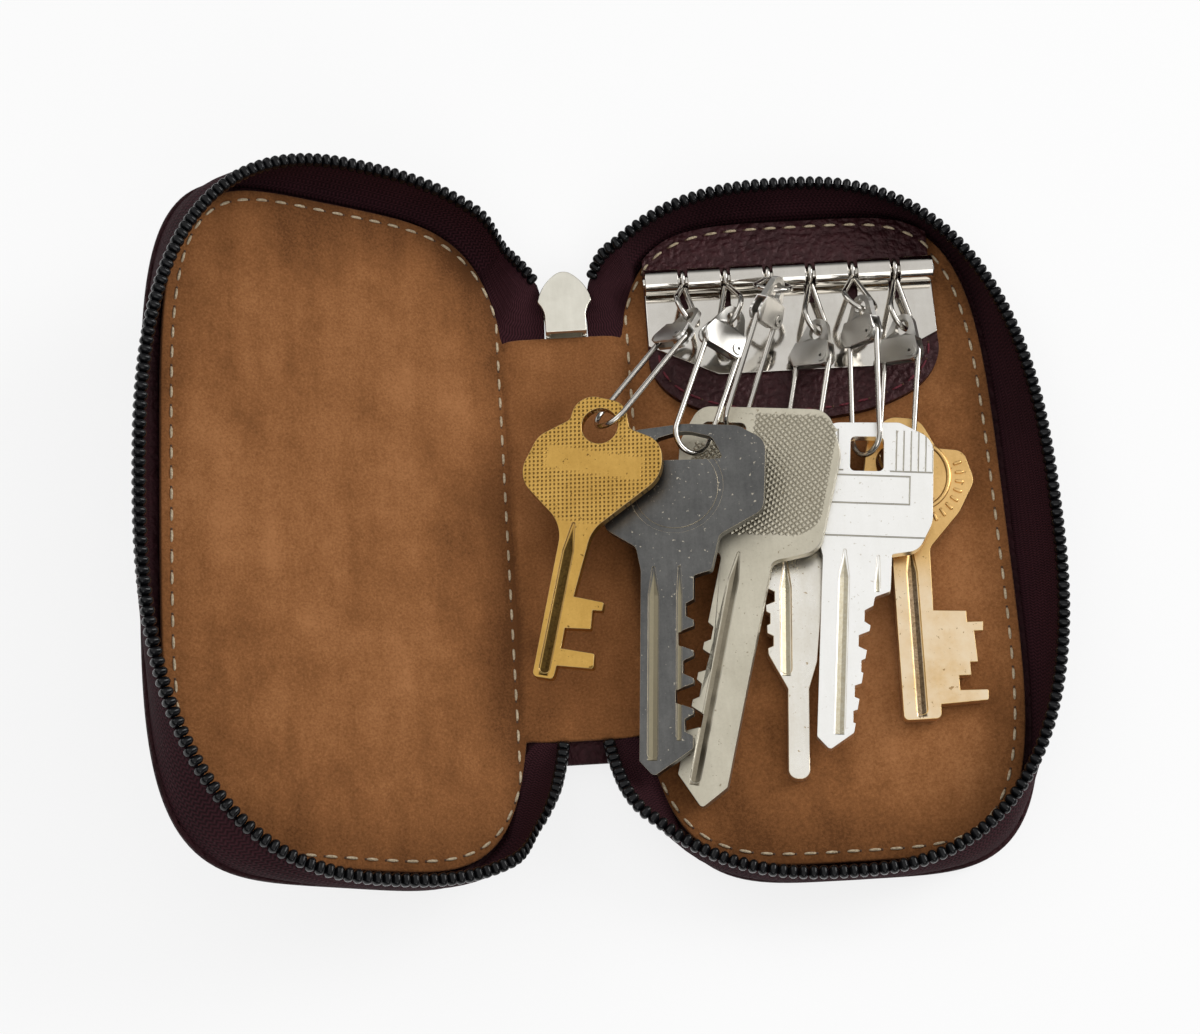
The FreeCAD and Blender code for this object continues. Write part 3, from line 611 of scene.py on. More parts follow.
def foldSide(v, inset):
    # how far out from the fold the cover's inner edge is, at a place along the fold
    power = caseSize["coverPower"]
    share = min(1.0, abs(v) / (coverHalf - inset))
    return coverMiddle - (coverMiddle + caseSize["overreach"]) * (1 - share ** power) ** (1 / power)


def growRows(count, reach):
    for _ in range(count):
        bpy.ops.mesh.extrude_region_move(TRANSFORM_OT_translate={"value": (-reach, 0, 0)})


def roundRim(sheet, width, middle):
    # rounds the cut edges, but not where the two halves of the strip meet
    startPicking(sheet, "EDGE")
    bpy.ops.mesh.edges_select_sharp(sharpness=math.radians(sheetGrid["edgeAngle"]))
    setMode("OBJECT")
    places = sheet.data.vertices
    for edge in sheet.data.edges:
        if all(places[i].co.x < middle + sheetGrid["seamNear"] for i in edge.vertices):
            edge.select = False
    setMode("EDIT")
    bpy.ops.mesh.bevel(offset=width, segments=sheetGrid["edgeSegments"], affect="EDGES")
    setMode("OBJECT")


def blendFold(piece):
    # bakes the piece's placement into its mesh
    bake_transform(piece)


def standFor(piece, side, kind, atSpine, slot, low, high):
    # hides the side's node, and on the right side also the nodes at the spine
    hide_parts(side + "_" + kind, *(atSpine if side == "right" else []))
    blendFold(piece)


def markRim(sheet):
    # how near the rim each place is, for the suede's painted shade: 0 in the middle, 1 at the edge
    near = sheet.data.attributes.new("rim", "FLOAT", "POINT")
    power = sheetGrid["rimPower"]
    for vertex in sheet.data.vertices:
        u, v, _ = vertex.co
        out = abs(u - coverMiddle) / coverMiddle if u > 0 else sheetGrid["stripRim"]
        near.data[vertex.index].value = min(1.0, out ** power + (abs(v) / coverHalf) ** power)


def makeSheet(kind, side):
    spec = sheetSpec[kind]
    sheet = addMesh(bpy.ops.mesh.primitive_grid_add, side + "_" + kind + "_sheet", size=2,
                    x_subdivisions=sheetGrid["across"], y_subdivisions=sheetGrid["along"])
    moveEach(sheet, lambda s, t, _: (*coverPoint(s, t, spec["inset"]), spec["top"]))

    def atFold(vertex):
        u, v, _ = vertex.co
        nearFold = u <= foldSide(v, spec["inset"]) + sheetGrid["near"]
        return nearFold and spec["low"] < v < spec["high"]

    # the fold-side edge grows in rows towards the spine's middle
    ends = [vertex.co.y for vertex in sheet.data.vertices if atFold(vertex)]
    first = min(ends)
    span = max(ends) - first
    steps = sheetGrid["stripSteps"]
    reach = sheetGrid["stepReach"]
    editPicked(sheet, atFold, growRows, count=steps, reach=reach)
    half = caseSize["spineWidth"] / 2
    soft = caseSize["foldSoft"]

    def shapeStrip(u, v, z):
        if u < -reach / 2:
            start = foldSide(v, spec["inset"])
            share = round(-u / reach) / steps
            straight = spec["low"] + (v - first) / span * (spec["high"] - spec["low"])
            u = start + (-half - start) * share
            v += (straight - v) * smoothStep(share * sheetGrid["straighten"])
        rise = smoothStep((soft - u) / (2 * soft))
        return u, v, z + rise * (spec["spineTop"] - spec["top"])

    moveEach(sheet, shapeStrip)
    editMesh(sheet, bpy.ops.mesh.normals_make_consistent, inside=False)
    if sum(face.normal.z for face in sheet.data.polygons) < 0:
        editMesh(sheet, bpy.ops.mesh.flip_normals)
    applyModifier(sheet, "SOLIDIFY", thickness=spec["thick"], offset=-1)
    roundRim(sheet, spec["edge"], -half)
    markRim(sheet)
    layOut(sheet, side, -soft, soft)
    smoothByAngle(sheet, sheetGrid["smooth"])
    dress(sheet, spec["material"])
    standFor(sheet, side, kind, ["spine_" + kind], spec["slot"], -soft, soft)


for side in sides:
    for kind in sheetSpec:
        makeSheet(kind, side)
    dress(nodes[side + "_stiffener"], board)
print("leather and suede sheets made")


# Zip line of one side: up from under the strip, round the cover, and down to the slider

zipSpec = {"wallSteps": 120, "runSteps": 14, "runFine": 24, "blend": (-5.0, 8.0)}
# the runs past the wall's ends, out from the fold, along it and up; the last is at the slider
topRun = {"right": [(-1.6, 47.5, 9.0), (-3.1, 46.3, 6.4), (-4.1, 44.6, 4.45)],
          "left": [(-2.0, 47.5, 9.0), (-4.4, 46.2, 6.4), (-6.0, 44.6, 4.45)]}
topFoot = [(2.9, 43.0, 1.5), (1.5, 38.6, 1.9), (0.2, 34.6, 2.9)]
topFootEnd = {"right": (-5.0, 34.5, 3.4), "left": (-7.0, 34.5, 3.4)}
lowRun = [(-1.7, -46.4, 10.7), (-3.6, -43.6, 9.8), (-5.2, -38.6, 6.8), (-6.2, -33.4, 4.2)]
lowFoot = [(2.9, -43.0, 1.5), (1.5, -38.6, 1.9), (0.2, -35.2, 2.6), (-2.0, -32.6, 3.3)]
tapeSpec = {"up": 8, "footInset": 0.8, "foot": 1.2, "topDrop": 0.7, "thick": 0.8, "bulge": 0.7,
            "fullBulge": 8, "smooth": 60}


def smoothRun(points, count):
    # evenly spaced points on a smooth line through a few
    curve = curveThrough("run", points, steps=zipSpec["runFine"])
    mesh = bpy.data.meshes.new_from_object(curve)
    fine = [vertex.co.copy() for vertex in mesh.vertices]
    bpy.data.meshes.remove(mesh)
    bpy.data.objects.remove(curve)
    lengths = [0.0]
    for a, b in zip(fine, fine[1:]):
        lengths.append(lengths[-1] + (b - a).length)
    out = []
    j = 0
    for i in range(count):
        goal = lengths[-1] * i / (count - 1)
        while j < len(fine) - 2 and lengths[j + 1] < goal:
            j += 1
        gap = lengths[j + 1] - lengths[j]
        out.append(fine[j].lerp(fine[j + 1], (goal - lengths[j]) / gap if gap else 0))
    return out


def zipLines(side):
    # matching points along the tape's foot and along the teeth
    end = math.radians(caseSize["zipEnd"])
    feet = []
    tops = []
    for i in range(zipSpec["wallSteps"] + 1):
        angle = -end + 2 * end * i / zipSpec["wallSteps"]
        foot = coverEdge(angle, tapeSpec["footInset"])
        top = teethPoint(angle)
        feet.append(Vector((foot.x, foot.y, tapeSpec["foot"])))
        tops.append(Vector((top.x, top.y, caseSize["zipHeight"])))
    count = zipSpec["runSteps"]
    lowFeet = smoothRun([feet[0]] + lowFoot, count)[1:]
    lowTops = smoothRun([tops[1], tops[0]] + lowRun, count + 1)[2:]
    highFeet = smoothRun([feet[-1]] + topFoot + [topFootEnd[side]], count)[1:]
    highTops = smoothRun([tops[-2], tops[-1]] + topRun[side], count + 1)[2:]
    return lowFeet[::-1] + feet + highFeet, lowTops[::-1] + tops + highTops


def finishZip(piece, side, material, kind, shared):
    dress(piece, material)
    standFor(piece, side, kind, [shared + "_slider_end", shared + "_open_end"], kind, *zipSpec["blend"])


# Zip tapes: from the leather's edge up to the teeth

def makeTape(side, feet, tops):
    columns = len(feet) - 1
    tape = addMesh(bpy.ops.mesh.primitive_grid_add, side + "_zip_tape_cloth", size=2,
                   x_subdivisions=columns, y_subdivisions=tapeSpec["up"], calc_uvs=True)

    def wallPoint(s, t, _):
        column = round((s + 1) / 2 * columns)
        height = (t + 1) / 2
        foot = feet[column]
        top = tops[column] - Vector((0, 0, tapeSpec["topDrop"]))
        out = (foot - Vector((caseSize["zipCentre"], 0, foot.z))).normalized()
        bulge = tapeSpec["bulge"] * min(1.0, (top - foot).length / tapeSpec["fullBulge"])
        return foot.lerp(top, height) + out * bulge * math.sin(math.pi * height)

    moveEach(tape, wallPoint)
    applyModifier(tape, "SOLIDIFY", thickness=tapeSpec["thick"], offset=0)
    layOut(tape, side, *zipSpec["blend"])
    smoothByAngle(tape, tapeSpec["smooth"])
    finishZip(tape, side, tapeCloth, "zip_tape", "zip_tapes")


# Zip teeth: one rounded tooth, repeated along the top of the tape

toothSpec = {"sides": 10, "pitch": 1.5, "wide": 2.3, "long": 0.73, "tall": 0.86, "round": 0.6,
             "segments": 3, "smooth": 60}


def makeTooth():
    tooth = addMesh(bpy.ops.mesh.primitive_cylinder_add, "zipTooth", vertices=toothSpec["sides"], radius=1,
                    depth=toothSpec["wide"], rotation=(math.pi / 2, 0, 0))
    tooth.scale = (toothSpec["long"], 1, toothSpec["tall"])
    bpy.ops.object.transform_apply(location=True, rotation=True, scale=True)
    applyModifier(tooth, "BEVEL", width=toothSpec["round"], segments=toothSpec["segments"],
                  limit_method="ANGLE", angle_limit=math.radians(toothSpec["smooth"]))
    tooth.data.transform(Matrix.Translation((toothSpec["pitch"] / 2, 0, 0)))
    return smoothByAngle(tooth, toothSpec["smooth"])


def makeTeeth(side, tops):
    row = repeatAlong(tooth, side + "_zip_teeth", tops, toothSpec["pitch"])
    layOut(row, side, *zipSpec["blend"])
    finishZip(row, side, toothBlack, "zip_coil", "zip_coils")


tooth = makeTooth()
for side in sides:
    feet, tops = zipLines(side)
    makeTape(side, feet, tops)
    makeTeeth(side, tops)
print("zip tapes and teeth made")


# Stitching

stitchSpec = {"pitch": 3.3, "long": 2.0, "thick": 0.24, "inset": 3.9, "blunt": 0.7, "flat": 0.8,
              "dip": 0.18, "lift": 0.1, "hole": (0.2, 0.22, 0.1), "holeGap": 0.1, "lead": 0.3,
              "smooth": 80, "points": 200, "foldGap": 1.3, "level": 3.02, "proud": 0.02, "patchFrom": 30}


def makeStitch(long, thick, thread):
    # a plump thread that dips into its hole at the far end
    spec = stitchSpec
    stitch = addMesh(bpy.ops.mesh.primitive_uv_sphere_add, "thread", segments=10, ring_count=6, radius=1)
    moveEach(stitch, lambda x, y, z: (
        math.copysign(abs(x) ** spec["blunt"], x) * long / 2, y * thick,
        z * thick * spec["flat"] - spec["dip"] * abs(x) ** 3 + spec["lift"]))
    dress(smoothByAngle(stitch, spec["smooth"]), thread)
    # the needle hole is a dark spot: painted shade where the thread goes in
    hole = addMesh(bpy.ops.mesh.primitive_uv_sphere_add, "hole", segments=8, ring_count=5, radius=1)
    wide, tall, deep = spec["hole"]
    moveEach(hole, lambda x, y, z: (x * wide + long / 2 + spec["holeGap"], y * tall, z * deep))
    dress(smoothByAngle(hole, spec["smooth"]), holeShade)
    whole = joinAll([stitch, hole], "stitch")
    whole.data.transform(Matrix.Translation((long / 2 + spec["lead"], 0, 0)))
    return whole


patchLow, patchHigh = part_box("key_patch")
patchLevel = patchHigh[2] / millimetre + stitchSpec["proud"]
patchSpec = {"centre": -2.65, "halfWidth": 23.6, "bottom": 18.2, "round": 13.0, "curve": 0.8,
             "seamInset": 1.6, "seamSide": [46.5, 42, 37], "seamSteps": 24, "seamPitch": 3.1,
             "seamLong": 2.0, "seamThick": 0.2}


def panelLine(side):
    # round the lining, and over the patch where it crosses it
    spec = stitchSpec
    line = []
    for i in range(spec["points"]):
        point = coverEdge(2 * math.pi * i / spec["points"], spec["inset"])
        u = max(point.x, spec["foldGap"])
        onPatch = patchLow[0] < (rightFold + u) * millimetre < patchHigh[0] and point.y > spec["patchFrom"]
        line.append((u, point.y, patchLevel if side == "right" and onPatch else spec["level"]))
    return line


def patchLine():
    # down one side of the patch, round its lower curve and up the other side
    spec = patchSpec
    half = spec["halfWidth"] - spec["seamInset"]
    depth = spec["round"] - spec["seamInset"]
    sideEnd = spec["bottom"] + spec["round"]
    line = [(spec["centre"] - half, y, patchLevel) for y in spec["seamSide"]]
    for i in range(spec["seamSteps"] + 1):
        turn = math.pi * i / spec["seamSteps"]
        line.append((spec["centre"] - half * math.cos(turn),
                     sideEnd - depth * math.sin(turn) ** spec["curve"], patchLevel))
    return line + [(spec["centre"] + half, y, patchLevel) for y in spec["seamSide"][::-1]]


creamStitch = makeStitch(stitchSpec["long"], stitchSpec["thick"], creamThread)
for side in sides:
    seam = repeatAlong(creamStitch, side + "_panel_stitching", panelLine(side), stitchSpec["pitch"],
                       closed=True)
    layOut(seam, side, -caseSize["foldSoft"], caseSize["foldSoft"])
    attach(seam, side + "_cover")
redStitch = makeStitch(patchSpec["seamLong"], patchSpec["seamThick"], redThread)
patchSeam = toMetres(repeatAlong(redStitch, "patch_stitching", patchLine(), patchSpec["seamPitch"]))
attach(patchSeam, "right_cover")
print("stitching made")


# Metal pieces and the patch: a softened copy of the solid

softSpec = {"merge": 0.0005, "flat": 2, "sharp": 30, "smooth": 38, "weight": 90}


def softCopy(node, width, material, body, slot, segments=2, rim=None, more=None):
    # rim is a second material for the rounded edges, more is a mesh to join on
    spec = softSpec
    copied = newObject(node + "_finished", nodes[node].data.copy())
    copied.data.transform(Matrix.Scale(1 / millimetre, 4))
    editMesh(copied, bpy.ops.mesh.remove_doubles, threshold=spec["merge"])
    dress(copied, material)
    if rim:
        copied.data.materials.append(rim)
    if width:
        editMesh(copied, bpy.ops.mesh.dissolve_limited, angle_limit=math.radians(spec["flat"]))
        applyModifier(copied, "BEVEL", width=width, segments=segments, limit_method="ANGLE",
                      angle_limit=math.radians(spec["sharp"]), use_clamp_overlap=True,
                      material=1 if rim else -1)
    toMetres(copied)
    # smooth over the rounded edges, with broad faces kept flat
    smoothByAngle(copied, spec["smooth"])
    applyModifier(copied, "WEIGHTED_NORMAL", weight=spec["weight"], keep_sharp=True)
    if more:
        dress(more, material)
        joinAll([copied, more], copied.name)
    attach(copied, body)
    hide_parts(node)


# node, how far its edges are rounded, material, body, slot, and steps round an edge
softPieces = [
    ("key_patch", 0.35, patchLeather, "right_cover", "patch_leather", 3),
    ("key_bar", 0.12, chrome, "right_cover", "bright_hardware", 2),
    ("key_bar_rod", 0.15, chrome, "right_cover", "bright_hardware", 2),
    ("key_bar_rivets", 0.15, chrome, "right_cover", "bright_hardware", 2),
    ("zip_slider", 0.2, pewter, "spine", "slider_metal", 3),
    ("zip_puller", 0.15, pewter, "puller", "slider_metal", 2),
]
claspCount = 6

for piece in softPieces:
    softCopy(*piece)
for number in range(1, claspCount + 1):
    tail = "_" + str(number)
    for name in ("clasp_plate", "clasp_rivet"):
        softCopy(name + tail, 0, claspMetal, "clasp" + tail, "bright_hardware")
    for name in ("wire_loop", "swivel_link"):
        dress(nodes[name + tail], hookPlate)
print("metal pieces finished")


# Keys: a softened copy of each solid, with its own marks in its metal.
# Places on a key are in millimetres from the middle of its hole, across and up, blade downwards.
# A groove has its place across, half its width, and where it starts and ends.

# each key's hollow colour in its grooves and marks is painted shade together with tarnish
keySpec = {
    1: {"hang": (15.4, 10, 4.0), "hole": (0.0, -0.2), "slot": "brass_key",
        "bright": (0.66, 0.4, 0.105), "dull": (0.48, 0.275, 0.062), "rough": (0.28, 0.46),
        "grooves": [(-1.0, 0.85, -16.0, -40.3)], "shadeAndTarnish": (0.02, 0.011, 0.004),
        "edge": (0.58, 0.38, 0.14), "specks": (0.1, 0.05, 0.012)},
    2: {"hang": (5.0, 10, 4.0), "hole": (-0.4, 0.2), "slot": "nickel_key",
        "bright": (0.15, 0.148, 0.142), "dull": (0.075, 0.075, 0.074), "rough": (0.26, 0.4),
        "grooves": [(-4.6, 0.85, -19.0, -49.3), (-0.6, 0.45, -19.0, -46.3)],
        "shadeAndTarnish": (0.3, 0.26, 0.17), "edge": (0.62, 0.53, 0.38), "specks": (0.55, 0.5, 0.4)},
    3: {"hang": (15.5, 10, 2.5), "hole": (-1.0, 0.2), "slot": "nickel_key",
        "bright": (0.64, 0.595, 0.48), "dull": (0.5, 0.46, 0.36), "rough": (0.34, 0.5),
        "grooves": [(6.0, 0.85, -19.5, -56.8)], "shadeAndTarnish": (0.2, 0.17, 0.12),
        "edge": (0.62, 0.58, 0.48), "specks": (0.3, 0.25, 0.17)},
    4: {"hang": (4.5, 0, 1.5), "hole": (0.0, 1.0), "slot": "nickel_key",
        "bright": (0.9, 0.87, 0.8), "dull": (0.76, 0.71, 0.61), "rough": (0.2, 0.36),
        "grooves": [(-1.8, 0.85, -15.5, -34.3)], "shadeAndTarnish": (0.26, 0.23, 0.15),
        "edge": (0.8, 0.68, 0.5), "specks": (0.4, 0.28, 0.14)},
    5: {"hang": (7.0, 4, 2.5), "hole": (0.0, -0.2), "slot": "nickel_key",
        "bright": (1.0, 0.99, 0.96), "dull": (0.92, 0.91, 0.87), "rough": (0.24, 0.4),
        "grooves": [(-3.0, 0.85, -15.8, -45.3), (2.2, 0.45, -16.6, -22.5)],
        "shadeAndTarnish": (0.3, 0.26, 0.17), "edge": (0.85, 0.8, 0.7), "specks": (0.7, 0.66, 0.58)},
    # the sixth key's pale tint is a painted reflection on its blade
    6: {"hang": (1.7, 0, 2.0), "hole": (0.0, 2.0), "slot": "gold_key",
        "bright": (0.78, 0.5, 0.2), "dull": (0.58, 0.35, 0.12), "rough": (0.28, 0.46),
        "grooves": [(1.4, 0.85, -14.5, -42.3)], "shadeAndTarnish": (0.035, 0.016, 0.004),
        "edge": (0.8, 0.54, 0.22), "specks": (0.3, 0.16, 0.05), "reflectionTint": (0.84, 0.68, 0.47)},
}
keyWear = {"scale": 900.0, "patches": (110.0, 1.2), "fine": (2.6, 5, 0.7), "weights": (0.45, 0.3, 0.25),
           "stops": (0.34, 0.6), "paintedReflection": (-15.0, -24.0), "reflectionPatches": (0.2, 0.6), "grit": (1.7, 2, 0.5),
           "gritFrom": (0.68, 0.74), "gritShare": 0.8, "ripple": 0.012, "edgeDull": 0.6,
           "edgeRough": (0.2, 0.4), "edgeRound": 0.2, "edgeSegments": 3}
grooveSpec = {"taper": 4.5, "end": 0.1, "deep": 0.35, "darkeningFull": 0.3, "darkeningFine": 0.4, "shadeAndTarnish": 0.7}
faceLevel = 0.95             # upper face of a key


def keyPlace(number):
    # turns and places a key's own axes into the case
    heading, roll, pitch = keySpec[number]["hang"]
    tilt = Matrix.Rotation(math.radians(-roll), 3, "Y") @ Matrix.Rotation(math.radians(pitch), 3, "X")
    normal = tilt @ Vector((0, 0, 1))
    up = Matrix.Rotation(math.radians(-heading), 3, normal) @ (tilt @ Vector((0, 1, 0)))
    across = up.cross(normal)
    wire = Vector(jointNamed["key_swing_" + str(number)]["pos_m"]) / millimetre
    dx, dy = keySpec[number]["hole"]
    origin = wire + across * dx + up * dy
    return Matrix((across, up, normal)).transposed(), origin


def awayFrom(value, middle):
    return mathNode("ABSOLUTE", value - middle)


def boxEdge(x, y, box):
    # distance outside a box with a middle and half its size, negative inside it
    return largest(*[awayFrom(value, middle) - half for value, middle, half in zip((x, y), *box)])


def insideOf(distance, soft):
    return inverse(stepNode(distance, -soft, soft))


def lineOn(distance, half):
    # a thin line where a distance is nought
    return inverse(stepNode(awayFrom(distance, 0.0), half * 0.5, half))


# Marks give a mask; dark is how much of the hollow colour it takes, painted shade with tarnish, rise how far
# it stands out
dotSpec = {"pitch": 1.5, "slant": 0.3, "round": (0.12, 0.34), "bow": (-16.5, -15.0),
           "band": ((0.2, -6.0), (7.6, 1.9)), "bandSoft": 0.6, "dark": 0.62, "rise": -0.12}


def dotMarks(x, y, spec):
    # close rows of dimples over the bow, with a plain band across it; the dimples get painted shade with
    # tarnish
    a = zigzag(x * spec["pitch"] + y * spec["slant"])
    b = zigzag(y * spec["pitch"] - x * spec["slant"])
    dots = inverse(stepNode(apartBy(a, b), *spec["round"]))
    band = insideOf(boxEdge(x, y, spec["band"]), spec["bandSoft"])
    return dots * stepNode(y, *spec["bow"]) * inverse(band)


hatchSpec = {"wide": 0.543, "long": 0.472, "fill": 0.92, "tall": 0.13, "sunk": 0.01, "first": (-25, -9),
             "count": (48, 44), "middle": (6.8, -7.2), "half": (11.0, 10.0), "round": 4.0, "slope": 0.112,
             "collar": ((0.0, 0.1), (4.6, 2.8)), "collarSoft": 0.3, "fieldSoft": 0.2, "cut": (0.03, 0.2),
             "dark": 0.55, "rise": -0.05}


def hatchMarks(x, y, spec):
    # cuts between the raised points, darkened with painted shade and tarnish
    right = x * (0.5 / spec["wide"])
    up = y * (0.5 / spec["long"])
    a = zigzag(right + up)
    b = zigzag(right - up)
    over = [largest(awayFrom(value, middle) - (half - spec["round"]), 0.0)
            for value, middle, half in zip((x, y - x * spec["slope"]), spec["middle"], spec["half"])]
    field = insideOf(apartBy(*over) - spec["round"], spec["fieldSoft"])
    collar = stepNode(boxEdge(x, y, spec["collar"]), 0.0, spec["collarSoft"])
    return inverse(stepNode(mathNode("MINIMUM", a, b), *spec["cut"])) * field * collar


lineSpec = {"flute": 1.15, "fluteHalf": 0.12, "soft": 0.05, "dark": 0.72, "rise": -0.12,
            "fluted": [((7.2, 0.6), (3.3, 3.4)), ((-5.6, 0.6), (1.9, 3.4))],
            "under": -2.8, "underHalf": 0.13, "underFrom": (3.6, 3.7),
            "panel": ((0.4, -5.9), (6.4, 2.3)), "foot": -13.6, "half": 0.14}


def lineMarks(x, y, spec):
    # a fluted top, an empty panel and a line under it; the lines get painted shade with tarnish
    within = largest(*[insideOf(boxEdge(x, y, box), spec["soft"]) for box in spec["fluted"]])
    flutes = lineOn(zigzag(x * (1 / spec["flute"])), spec["fluteHalf"])
    near, far = spec["underFrom"]
    beside = largest(stepNode(x, near, far), inverse(stepNode(x, -far, -near)))
    under = lineOn(y - spec["under"], spec["underHalf"])
    panel = lineOn(boxEdge(x, y, spec["panel"]), spec["half"])
    return largest(flutes * within, under * beside, panel, lineOn(y - spec["foot"], spec["half"]))


def blendColour(share, first, second):
    return Value(addNode(share.tree, "Mix", {"Factor": share, "A": first, "B": (*second, 1)},
                         data_type="RGBA"), "Result")


marksOf = {1: (dotMarks, dotSpec), 3: (hatchMarks, hatchSpec), 5: (lineMarks, lineSpec)}


def keyMetal(number):
    spec = keySpec[number]
    material, tree = newMaterial("keyMetal" + str(number))
    turn, origin = keyPlace(number)
    back = turn.transposed()
    place = mapped(placeOn(tree), Scale=[1 / millimetre] * 3, Rotation=back.to_euler("XYZ"),
                   Location=-(back @ origin))
    x, y, _ = axesOf(place)
    wear = Value(groupNode(tree, scratch, Scale=keyWear["scale"]), "Mask")
    patches = patchesOf(tree, *keyWear["patches"])
    fine = noiseNode(place, *keyWear["fine"])
    tone = weighed((wear, patches, fine), keyWear["weights"])
    metal = rampNode(tone, keyWear["stops"], (spec["dull"], spec["bright"]))
    if "reflectionTint" in spec:
        # painted reflection: pale blotches on the blade below the bow
        paintedReflection = stepNode(y, *keyWear["paintedReflection"]) * rangeNode(patches, keyWear["reflectionPatches"])
        metal = blendColour(paintedReflection, metal, spec["reflectionTint"])
    grit = stepNode(noiseNode(place, *keyWear["grit"]), *keyWear["gritFrom"])
    metal = blendColour(grit * keyWear["gritShare"], metal, spec["specks"])
    height = fine * keyWear["ripple"]
    darks = []
    if number in marksOf:
        marks, markSpec = marksOf[number]
        mask = marks(x, y, markSpec)
        darks.append(mask * markSpec["dark"])
        height += mask * markSpec["rise"]
    # milled grooves: V-shaped, narrowing to a point at the bow; their floors take the hollow colour, painted
    # shade with tarnish
    for middle, half, top, bottom in spec["grooves"]:
        wide = rangeNode(y, (top, top - grooveSpec["taper"])) * half
        depth = largest(wide - awayFrom(x, middle), 0.0) * stepNode(y, bottom - grooveSpec["end"], bottom)
        height -= depth * grooveSpec["deep"]
        uneven = fine * grooveSpec["darkeningFine"] + grooveSpec["shadeAndTarnish"]
        darks.append(stepNode(depth, 0.0, grooveSpec["darkeningFull"]) * uneven)
    return shade(material, {
        "Base Color": blendColour(largest(*darks), metal, spec["shadeAndTarnish"]), "Metallic": 1.0,
        "Roughness": rangeNode(tone, end=spec["rough"][::-1]), "Normal": bumpNode(height, 1.0, millimetre)})


def inHatchField(x, y):
    spec = hatchSpec
    over = [max(abs(value - middle) - half + spec["round"], 0.0)
            for value, middle, half in zip((x, y - spec["slope"] * x), spec["middle"], spec["half"])]
    inCollar = all(abs(value - middle) < half for value, middle, half in zip((x, y), *spec["collar"]))
    return math.hypot(*over) < spec["round"] and not inCollar


def makeHatching():
    # rows of small four-sided points; those outside the field are taken away
    spec = hatchSpec
    hatching = addMesh(bpy.ops.mesh.primitive_cone_add, "hatching", vertices=4, radius1=1, depth=1,
                       end_fill_type="NOTHING")
    n, m = spec["first"]
    moveEach(hatching, lambda x, y, z: ((x * spec["fill"] + n + m + 1) * spec["wide"],
                                        (y * spec["fill"] + n - m) * spec["long"],
                                        faceLevel - spec["sunk"] + (z + 0.5) * spec["tall"]))
    each = len(hatching.data.vertices)
    for count, turn in zip(spec["count"], (1, -1)):
        repeatBy(hatching, count, (spec["wide"], turn * spec["long"], 0))
    places = [vertex.co.to_2d() for vertex in hatching.data.vertices]
    tips = places[each - 1::each]        # the last of each point's vertices
    return editPicked(hatching, lambda vertex: not inHatchField(*tips[vertex.index // each]),
                      bpy.ops.mesh.delete, type="VERT")


reliefSpec = {"middle": (3.4, -3.0), "radius": 5.0, "stretch": 1.118, "thick": 0.42, "arc": (-100, 62),
              "arcSteps": 16, "barFrom": 6.0, "barTo": 7.4, "barWide": 0.5, "barRound": 0.5,
              "barAngles": range(-70, 20, 12), "tall": 0.28, "smooth": 50, "roundSteps": 2}


def reliefPoint(radius, degrees):
    spec = reliefSpec
    turn = math.radians(degrees)
    return Vector((spec["middle"][0] + radius * math.cos(turn),
                   spec["middle"][1] + radius * spec["stretch"] * math.sin(turn), faceLevel))


def makeRelief():
    # a raised arc on the bow, with short bars round it
    spec = reliefSpec
    low, high = spec["arc"]
    steps = spec["arcSteps"]
    arc = curveThrough("arc", [reliefPoint(spec["radius"], low + (high - low) * i / steps)
                               for i in range(steps + 1)])
    setAll(arc.data, bevel_depth=spec["thick"], bevel_resolution=spec["roundSteps"], use_fill_caps=True)
    makeActive(arc)
    bpy.ops.object.convert(target="MESH")
    pieces = [bpy.context.object]
    for degrees in spec["barAngles"]:
        start = reliefPoint(spec["barFrom"], degrees)
        end = reliefPoint(spec["barTo"], degrees)
        bar = addMesh(bpy.ops.mesh.primitive_cube_add, "bar", size=2)
        applyModifier(bar, "BEVEL", width=spec["barRound"], segments=spec["roundSteps"])
        along = (end - start) / 2
        across = Vector((-along.y, along.x, 0)).normalized() * spec["barWide"] / 2
        up = Vector((0, 0, spec["thick"]))
        moveEach(bar, lambda x, y, z: (start + end) / 2 + along * x + across * y + up * z)
        pieces.append(bar)
    relief = joinAll(pieces, "relief")
    flatter = spec["tall"] / spec["thick"]
    moveEach(relief, lambda x, y, z: (x, y, faceLevel + (z - faceLevel) * flatter))
    return smoothByAngle(relief, spec["smooth"])


def placeOnKey(obj, number):
    turn, origin = keyPlace(number)
    obj.data.transform(Matrix.Translation(origin) @ turn.to_4x4())
    return toMetres(obj)


raised = {3: makeHatching, 6: makeRelief}
for number, spec in keySpec.items():
    name = "key_" + str(number)
    worn = metalMaterial("keyEdge" + str(number), spec["edge"],
                         [tone * keyWear["edgeDull"] for tone in spec["edge"]], keyWear["edgeRough"],
                         depth=roughCast)
    more = placeOnKey(raised[number](), number) if number in raised else None
    softCopy(name, keyWear["edgeRound"], keyMetal(number), name, spec["slot"], keyWear["edgeSegments"],
             rim=worn, more=more)
    print("key finished:", number)


# Floor, light and camera

stageSpec = {"floor": 3.0, "place": (-0.04, 0, -0.0004), "colour": (0.86, 0.86, 0.86, 1), "roughness": 0.9,
             "glow": 0.8, "worldStrength": 0.9, "skyHeights": (0.0, 0.45, 0.72, 0.85, 0.95),
             "skyTones": (0.08, 0.16, 0.9, 1.0, 0.97)}


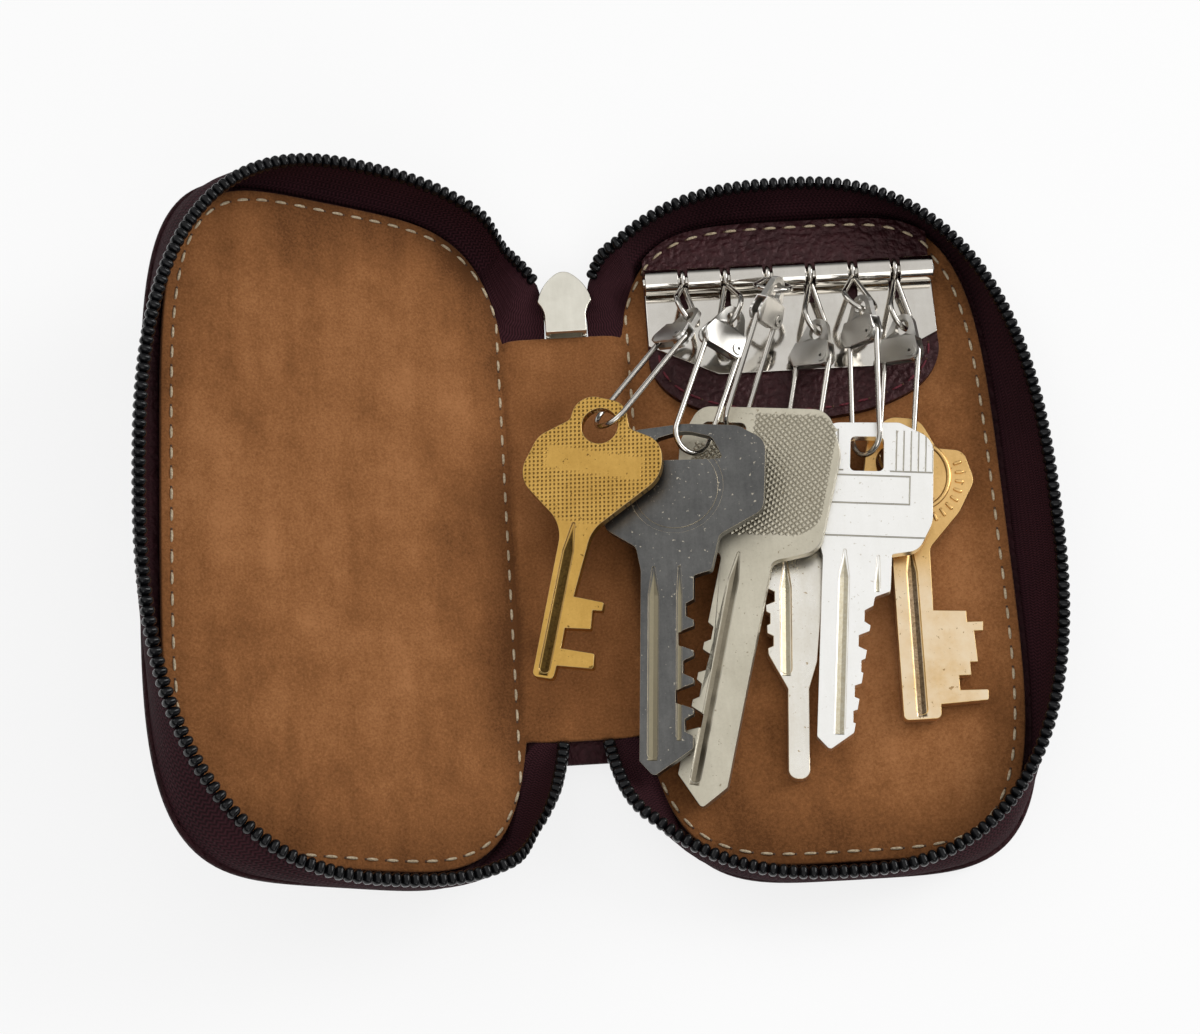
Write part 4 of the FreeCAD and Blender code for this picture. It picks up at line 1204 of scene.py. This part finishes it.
def makeFloor():
    floor = addMesh(bpy.ops.mesh.primitive_plane_add, "floor", size=stageSpec["floor"],
                    location=stageSpec["place"])
    material, tree = newMaterial("paleFloor")
    shade(material, {"Roughness": stageSpec["roughness"], "Base Color": stageSpec["colour"]})
    # paler to the camera and in reflections than in its light on the case
    path = addNode(tree, "LightPath", {})
    seen = largest(*[Value(path, "Is " + kind + " Ray") for kind in ("Camera", "Glossy", "Transmission")])
    glow = addNode(tree, "Emission", {"Color": (1, 1, 1, 1)})
    mix = addNode(tree, "MixShader", {0: seen * stageSpec["glow"], 1: Value(tree.nodes["Principled BSDF"]),
                                      2: Value(glow)})
    setInputs(tree.nodes["Material Output"], {"Surface": Value(mix)})
    dress(floor, material)


def makeSky():
    # dark at the horizon and pale overhead
    world = bpy.data.worlds.new("studio")
    bpy.context.scene.world = world
    world.use_nodes = True
    tree = world.node_tree
    _, _, height = axesOf(placeOn(tree, "Generated"))
    tones = [[tone] * 3 for tone in stageSpec["skyTones"]]
    setInputs(tree.nodes["Background"], {"Color": rampNode(height, stageSpec["skyHeights"], tones),
                                         "Strength": stageSpec["worldStrength"]})


lampTarget = Vector((-0.03, 0, 0.01))
lampSize = 0.6
lampSpec = [
    {"name": "keyLamp", "place": (0.8, 0.3, 0.55), "power": 5.0},
    {"name": "fillLamp", "place": (-0.6, 0.5, 0.5), "power": 1.2},
    {"name": "frontLamp", "place": (0.1, -0.8, 0.6), "power": 1.5},
]


def makeLamps():
    for spec in lampSpec:
        data = bpy.data.lights.new(spec["name"], "AREA")
        lamp = newObject(spec["name"], setAll(data, shape="DISK", size=lampSize, energy=spec["power"]))
        lamp.location = spec["place"]
        lamp.rotation_mode = "QUATERNION"
        lamp.rotation_quaternion = (lampTarget - lamp.location).to_track_quat("-Z", "Y")


cameraSpec = {"place": (-48.59, -135.47, 375.87), "elevation": 70.0, "turn": 3.44}
lensSpec = {"lens": 75.0, "sensor_width": 36, "shift_x": 0.0223, "shift_y": 0.0199, "clip_start": 0.01}


def makeCamera():
    elevation = math.radians(cameraSpec["elevation"])
    turn = math.radians(cameraSpec["turn"])
    right = Vector((math.cos(turn), -math.sin(turn), 0))
    back = Vector((-math.cos(elevation) * math.sin(turn), -math.cos(elevation) * math.cos(turn),
                   math.sin(elevation)))
    camera = newObject("camera", setAll(bpy.data.cameras.new("camera"), **lensSpec))
    turned = Matrix((right, back.cross(right), back)).transposed().to_4x4()
    camera.matrix_world = Matrix.Translation(Vector(cameraSpec["place"]) * millimetre) @ turned
    bpy.context.scene.camera = camera


makeFloor()
makeSky()
makeLamps()
makeCamera()
bpy.context.scene.view_settings.view_transform = "Standard"
for spare in (tooth, creamStitch, redStitch):
    bpy.data.objects.remove(spare)
print("stage, lamps and camera set")
